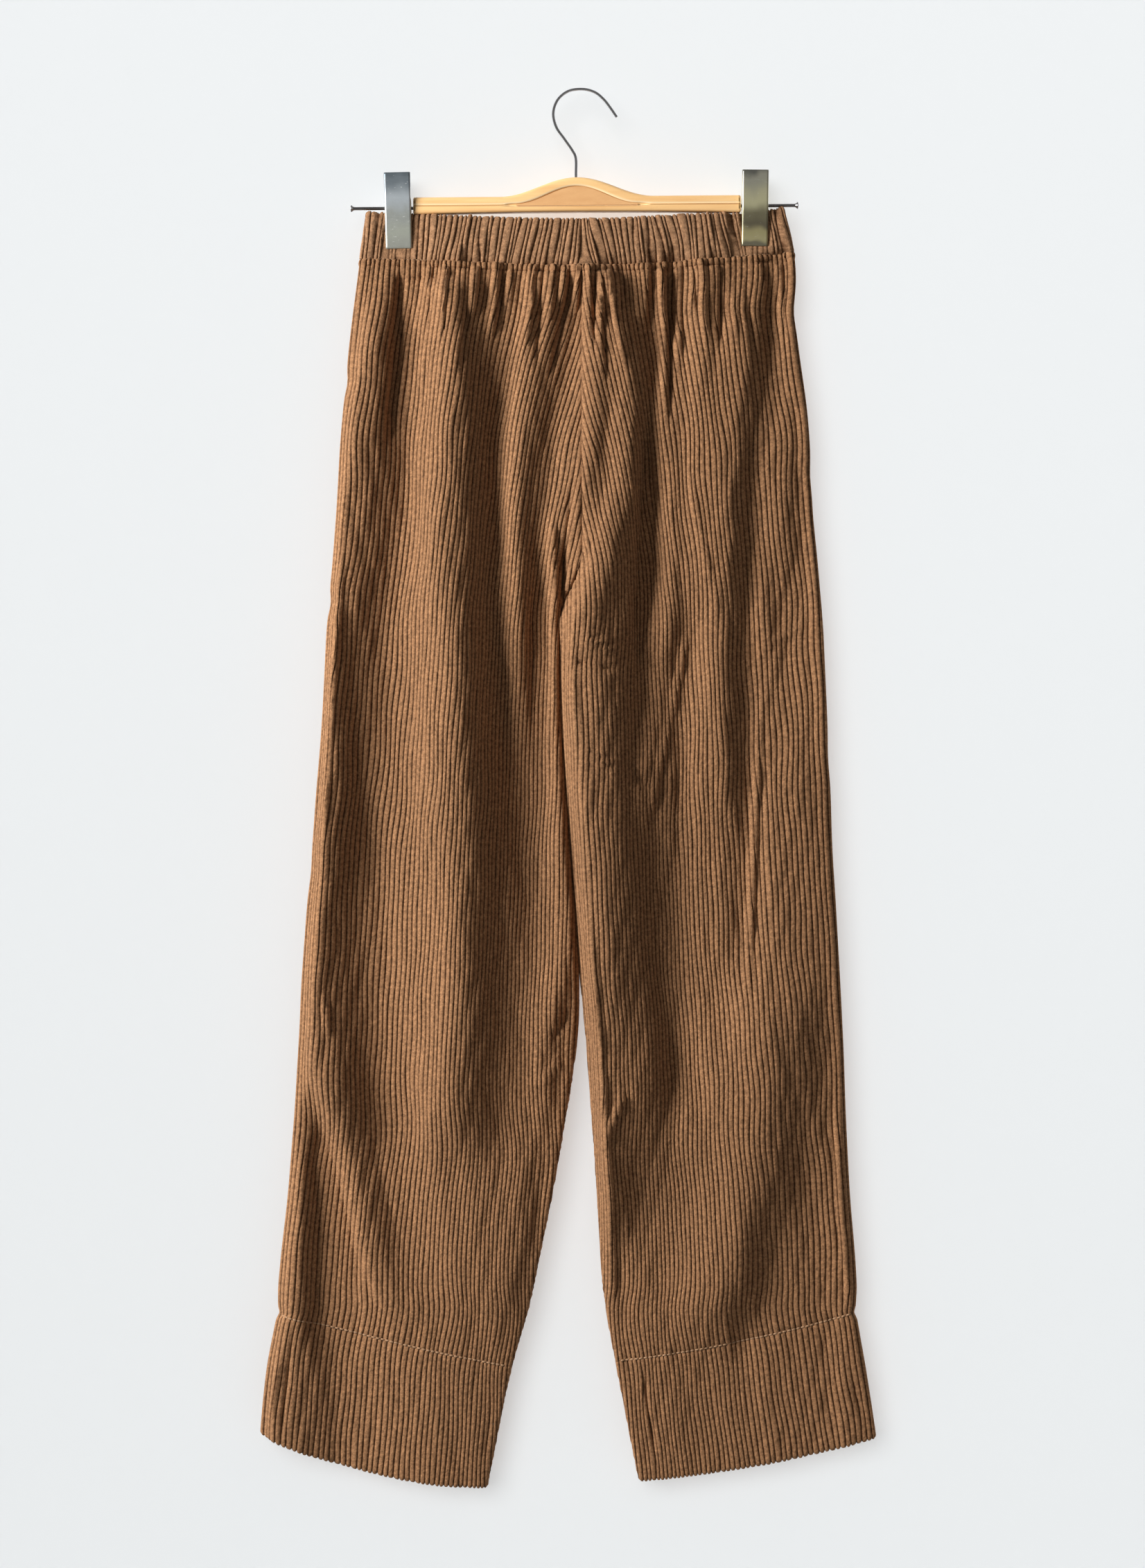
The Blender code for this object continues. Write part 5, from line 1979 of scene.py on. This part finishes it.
@dataclass
class Studio:
    """A pale wall close behind, a pale floor, a broad light from the left, the wall's own lights, a lens."""

    distance: float = 2.9
    view_height: float = 1.2225
    middle: Vector = field(default_factory=lambda: Vector((-0.009, 0.0, -0.5405)))
    wall_y: float = 0.026
    floor_z: float = -1.45
    key: Panel = Panel((-2.05, -1.15, 0.22), 0.85, 116.0)
    wall_fill: Panel = Panel((0.0, -5.0, 1.2), 3.0, 176.0)
    behind: Panel = Panel((1.2, 2.4, 0.4), 2.0, 45.0)
    wall_light: Triple = (-0.34, -1.0, 0.3)
    wall_light_spread: float = 40.0

    def build(self) -> Item:
        """Makes the camera, the lights, the wall and the floor.

        Returns:
            The main light, which a bright piece may be kept out of.
        """
        bpy.context.scene.view_settings.view_transform = "Standard"
        self.add_camera()
        wall, floor = self.add_wall(), self.add_floor()
        key = self.add_panel("key", self.key)
        link_light(key, wall, "EXCLUDE")
        link_light(key, floor, "EXCLUDE")
        sunlight = Vector(self.wall_light)
        wall_light = self.add_light("wall_light", "SUN", sunlight * 2, -sunlight, 1.0)
        wall_light.data.angle = math.radians(self.wall_light_spread)
        link_light(wall_light, wall, "INCLUDE")
        wall_fill = self.add_panel("wall_fill", self.wall_fill)
        wall_fill.data.use_shadow = False
        link_light(wall_fill, wall, "INCLUDE")
        self.add_panel("behind", self.behind)
        world = bpy.data.worlds.new("studio_air")
        world.use_nodes = True
        air = world.node_tree.nodes["Background"].inputs
        air["Color"].default_value, air["Strength"].default_value = (1.0, 0.97, 0.93, 1.0), 0.2
        bpy.context.scene.world = world
        return key

    def add_camera(self) -> None:
        """A long lens straight in front."""
        lens = bpy.data.cameras.new("camera")
        lens.sensor_width = 36.0
        lens.lens = lens.sensor_width * self.distance / self.view_height
        lens.clip_end = 30.0
        camera = in_scene("camera", lens)
        camera.location = self.middle - Vector((0, self.distance, 0))
        camera.rotation_euler = (math.pi / 2, 0, 0)
        bpy.context.scene.camera = camera

    def add_light(self, name: str, kind: str, place: Vector, aim: Vector, power: float) -> Item:
        """Adds a light.

        Args:
            name: Its name.
            kind: Its type.
            place: Where it is.
            aim: The direction in which it shines.
            power: Its power, in watts, or a sun's strength.

        Returns:
            The light.
        """
        data = bpy.data.lights.new(name, kind)
        data.energy = power
        made = in_scene(name, data)
        made.location = place
        made.rotation_euler = aim.to_track_quat("-Z", "Y").to_euler()
        return made

    def add_panel(self, name: str, panel: Panel) -> Item:
        """Adds a soft square light.

        Args:
            name: Its name.
            panel: Its place, size and power.

        Returns:
            The light.
        """
        made = self.add_light(name, "AREA", panel.place, self.middle - Vector(panel.place), panel.power)
        made.data.size = panel.size
        return made

    def add_wall(self) -> Item:
        """The wall, which can't be seen from behind and lets the light behind it through.

        Returns:
            The wall.
        """
        sheet = Sheet("painted_wall")
        sheet.set_inputs(Base_Color=(0.805, 0.83, 0.845, 1.0), Roughness=0.9)
        choose = sheet.add("ShaderNodeMixShader")
        clear = sheet.add("ShaderNodeBsdfTransparent").outputs["BSDF"]
        behind = sheet.add("ShaderNodeNewGeometry").outputs["Backfacing"]
        for slot, value in zip(choose.inputs, (behind, sheet.shader.outputs["BSDF"], clear)):
            sheet.feed(slot, value)
        output = next(n for n in sheet.tree.nodes if n.type == "OUTPUT_MATERIAL")
        sheet.feed(output.inputs["Surface"], choose.outputs[0])
        upright = Matrix.Translation((0, self.wall_y, 0)) @ Matrix.Rotation(math.pi / 2, 4, "X")
        wall = self.plane("wall", 8.0, upright, sheet.material)
        wall.visible_shadow = False
        return wall

    def add_floor(self) -> Item:
        """The pale floor, well below.

        Returns:
            The floor.
        """
        sheet = Sheet("pale_floor")
        sheet.set_inputs(Base_Color=(0.62, 0.62, 0.61, 1.0), Roughness=0.8)
        return self.plane("floor", 40.0, Matrix.Translation((0, 0, self.floor_z)), sheet.material)

    def plane(self, name: str, size: float, place: Matrix, finish: Material) -> Item:
        """Makes a flat square of the stage.

        Args:
            name: Its name.
            size: Its side, in metres.
            place: Its place.
            finish: Its material.

        Returns:
            The square.
        """
        bm = bmesh.new()
        bmesh.ops.create_grid(bm, x_segments=1, y_segments=1, size=size / 2, matrix=place)
        made = finished(name, bm)
        made.data.materials.append(finish)
        return made


def link_light(light: Item, item: Item, state: str) -> None:
    """Lets a light fall on some items only, or keeps it off them.

    Args:
        light: The light.
        item: One of the items.
        state: INCLUDE or EXCLUDE.
    """
    linking = light.light_linking
    if linking.receiver_collection is None:
        linking.receiver_collection = bpy.data.collections.new(f"{light.name}_receivers")
    linking.receiver_collection.objects.link(item)
    linking.receiver_collection.collection_objects[-1].light_linking.link_state = state


# ---------------------------------------------------------------- assembly
@dataclass
class Dresser:
    """Gives each piece its finish and its body, and hides the CAD nodes that it replaces."""

    frame: dict
    made: int = 0

    def dress(self, piece: Item, finish: Material, slot: str, *nodes: str) -> Item:
        """Dresses a piece and hides the CAD nodes that it replaces.

        Args:
            piece: The finished piece.
            finish: Its material.
            slot: Not used.
            nodes: The CAD nodes that it replaces.

        Returns:
            The piece.
        """
        piece.data.materials.append(finish)
        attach(piece, ROOT)
        if nodes:
            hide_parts(*nodes)
        self.made += 1
        log.info("%s: %d faces", piece.name, len(piece.data.polygons))
        return piece


def dress_trousers(dresser: Dresser) -> None:
    """Builds and dresses the cloth and its stitches.

    Args:
        dresser: Dresses its pieces.
    """
    trousers = Trousers()
    corduroy = CorduroyFinish("corduroy").build()
    # the waist's second colour is the painted shade in its grooves
    waist = CorduroyFinish("waist_corduroy", (0.33, 0.178, 0.092, 1.0), (0.07, 0.029, 0.011, 1.0)).build()
    thread = ThreadFinish().build()
    for face in Face:
        band = dresser.dress(trousers.build_band(face), waist, "waist_corduroy", f"waistband_{face.word}")
        dresser.dress(sew_waist(face), thread, "waist_corduroy")
        for leg in Leg:
            panel = trousers.build_leg(face, leg)
            dresser.dress(panel, corduroy, "corduroy", f"{face.word}_leg_{leg.word}")
            hem = trousers.build_hem(face, leg)
            dresser.dress(hem, corduroy, "corduroy", f"hem_{face.word}_{leg.word}")
            dresser.dress(sew_hem(face, leg), thread, "corduroy")


def dress_hanger(dresser: Dresser) -> Item:
    """Builds and dresses the hanger.

    Args:
        dresser: Dresses its pieces.

    Returns:
        Its hook.
    """
    wood = WoodFinish("lacquered_beech", (0.92, 0.6, 0.27, 1.0), (0.78, 0.42, 0.16, 1.0), rout=True).build()
    inlay_grain = (40.0, 260.0, 120.0)
    inlay = WoodFinish("beech_inlay", (0.78, 0.45, 0.2, 1.0), (0.64, 0.32, 0.125, 1.0), inlay_grain).build()
    chrome = MetalFinish("chrome", ((0.0, (0.55, 0.55, 0.57)),), 0.08).build()
    steel = MetalFinish("dark_steel", ((0.0, (0.24, 0.23, 0.23)),), 0.25).build()
    # the clips' finishes paint shade and reflections over the plating's tint
    nickel = MetalFinish("worn_nickel", NICKEL_WITH_PAINTED_LIGHT, 0.34, metallic=0.6, scratches=0.5).build()
    brassy = MetalFinish("brassy_nickel", BRASSY_WITH_PAINTED_LIGHT, 0.34, metallic=0.6, scratches=0.3).build()
    dresser.dress(Bar().build(), wood, "bar_wood", "hanger_bar")
    for face in Face:
        node = dresser.frame["nodes"][f"hanger_inlay_{face.word}"]
        node.data.materials.clear()
        node.data.materials.append(inlay)
    hook = dresser.dress(Hook().build(), chrome, "hook_chrome", "hanger_hook")
    for leg in Leg:
        dresser.dress(Rod(leg).build(), steel, "rod_steel", f"hanger_rod_{leg.word}")
        clip = Clip(leg)
        finish = nickel if leg is Leg.LEFT else brassy
        for face in Face:
            dresser.dress(clip.build_half(face), finish, "clip_steel", f"clip_{leg.word}_{face.word}")
        dresser.dress(clip.build_spring(), steel, "clip_steel", f"clip_{leg.word}_spring")
    return hook


def main() -> None:
    """Builds the dressed trousers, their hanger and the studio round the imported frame."""
    logging.basicConfig(level=logging.INFO, format="%(name)s %(message)s")
    for item in list(bpy.data.objects):
        bpy.data.objects.remove(item)
    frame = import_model()
    key = Studio().build()
    dresser = Dresser(frame)
    dress_trousers(dresser)
    link_light(key, dress_hanger(dresser), "EXCLUDE")
    log.info("%d pieces dressed", dresser.made)


if __name__ == "__main__":
    main()
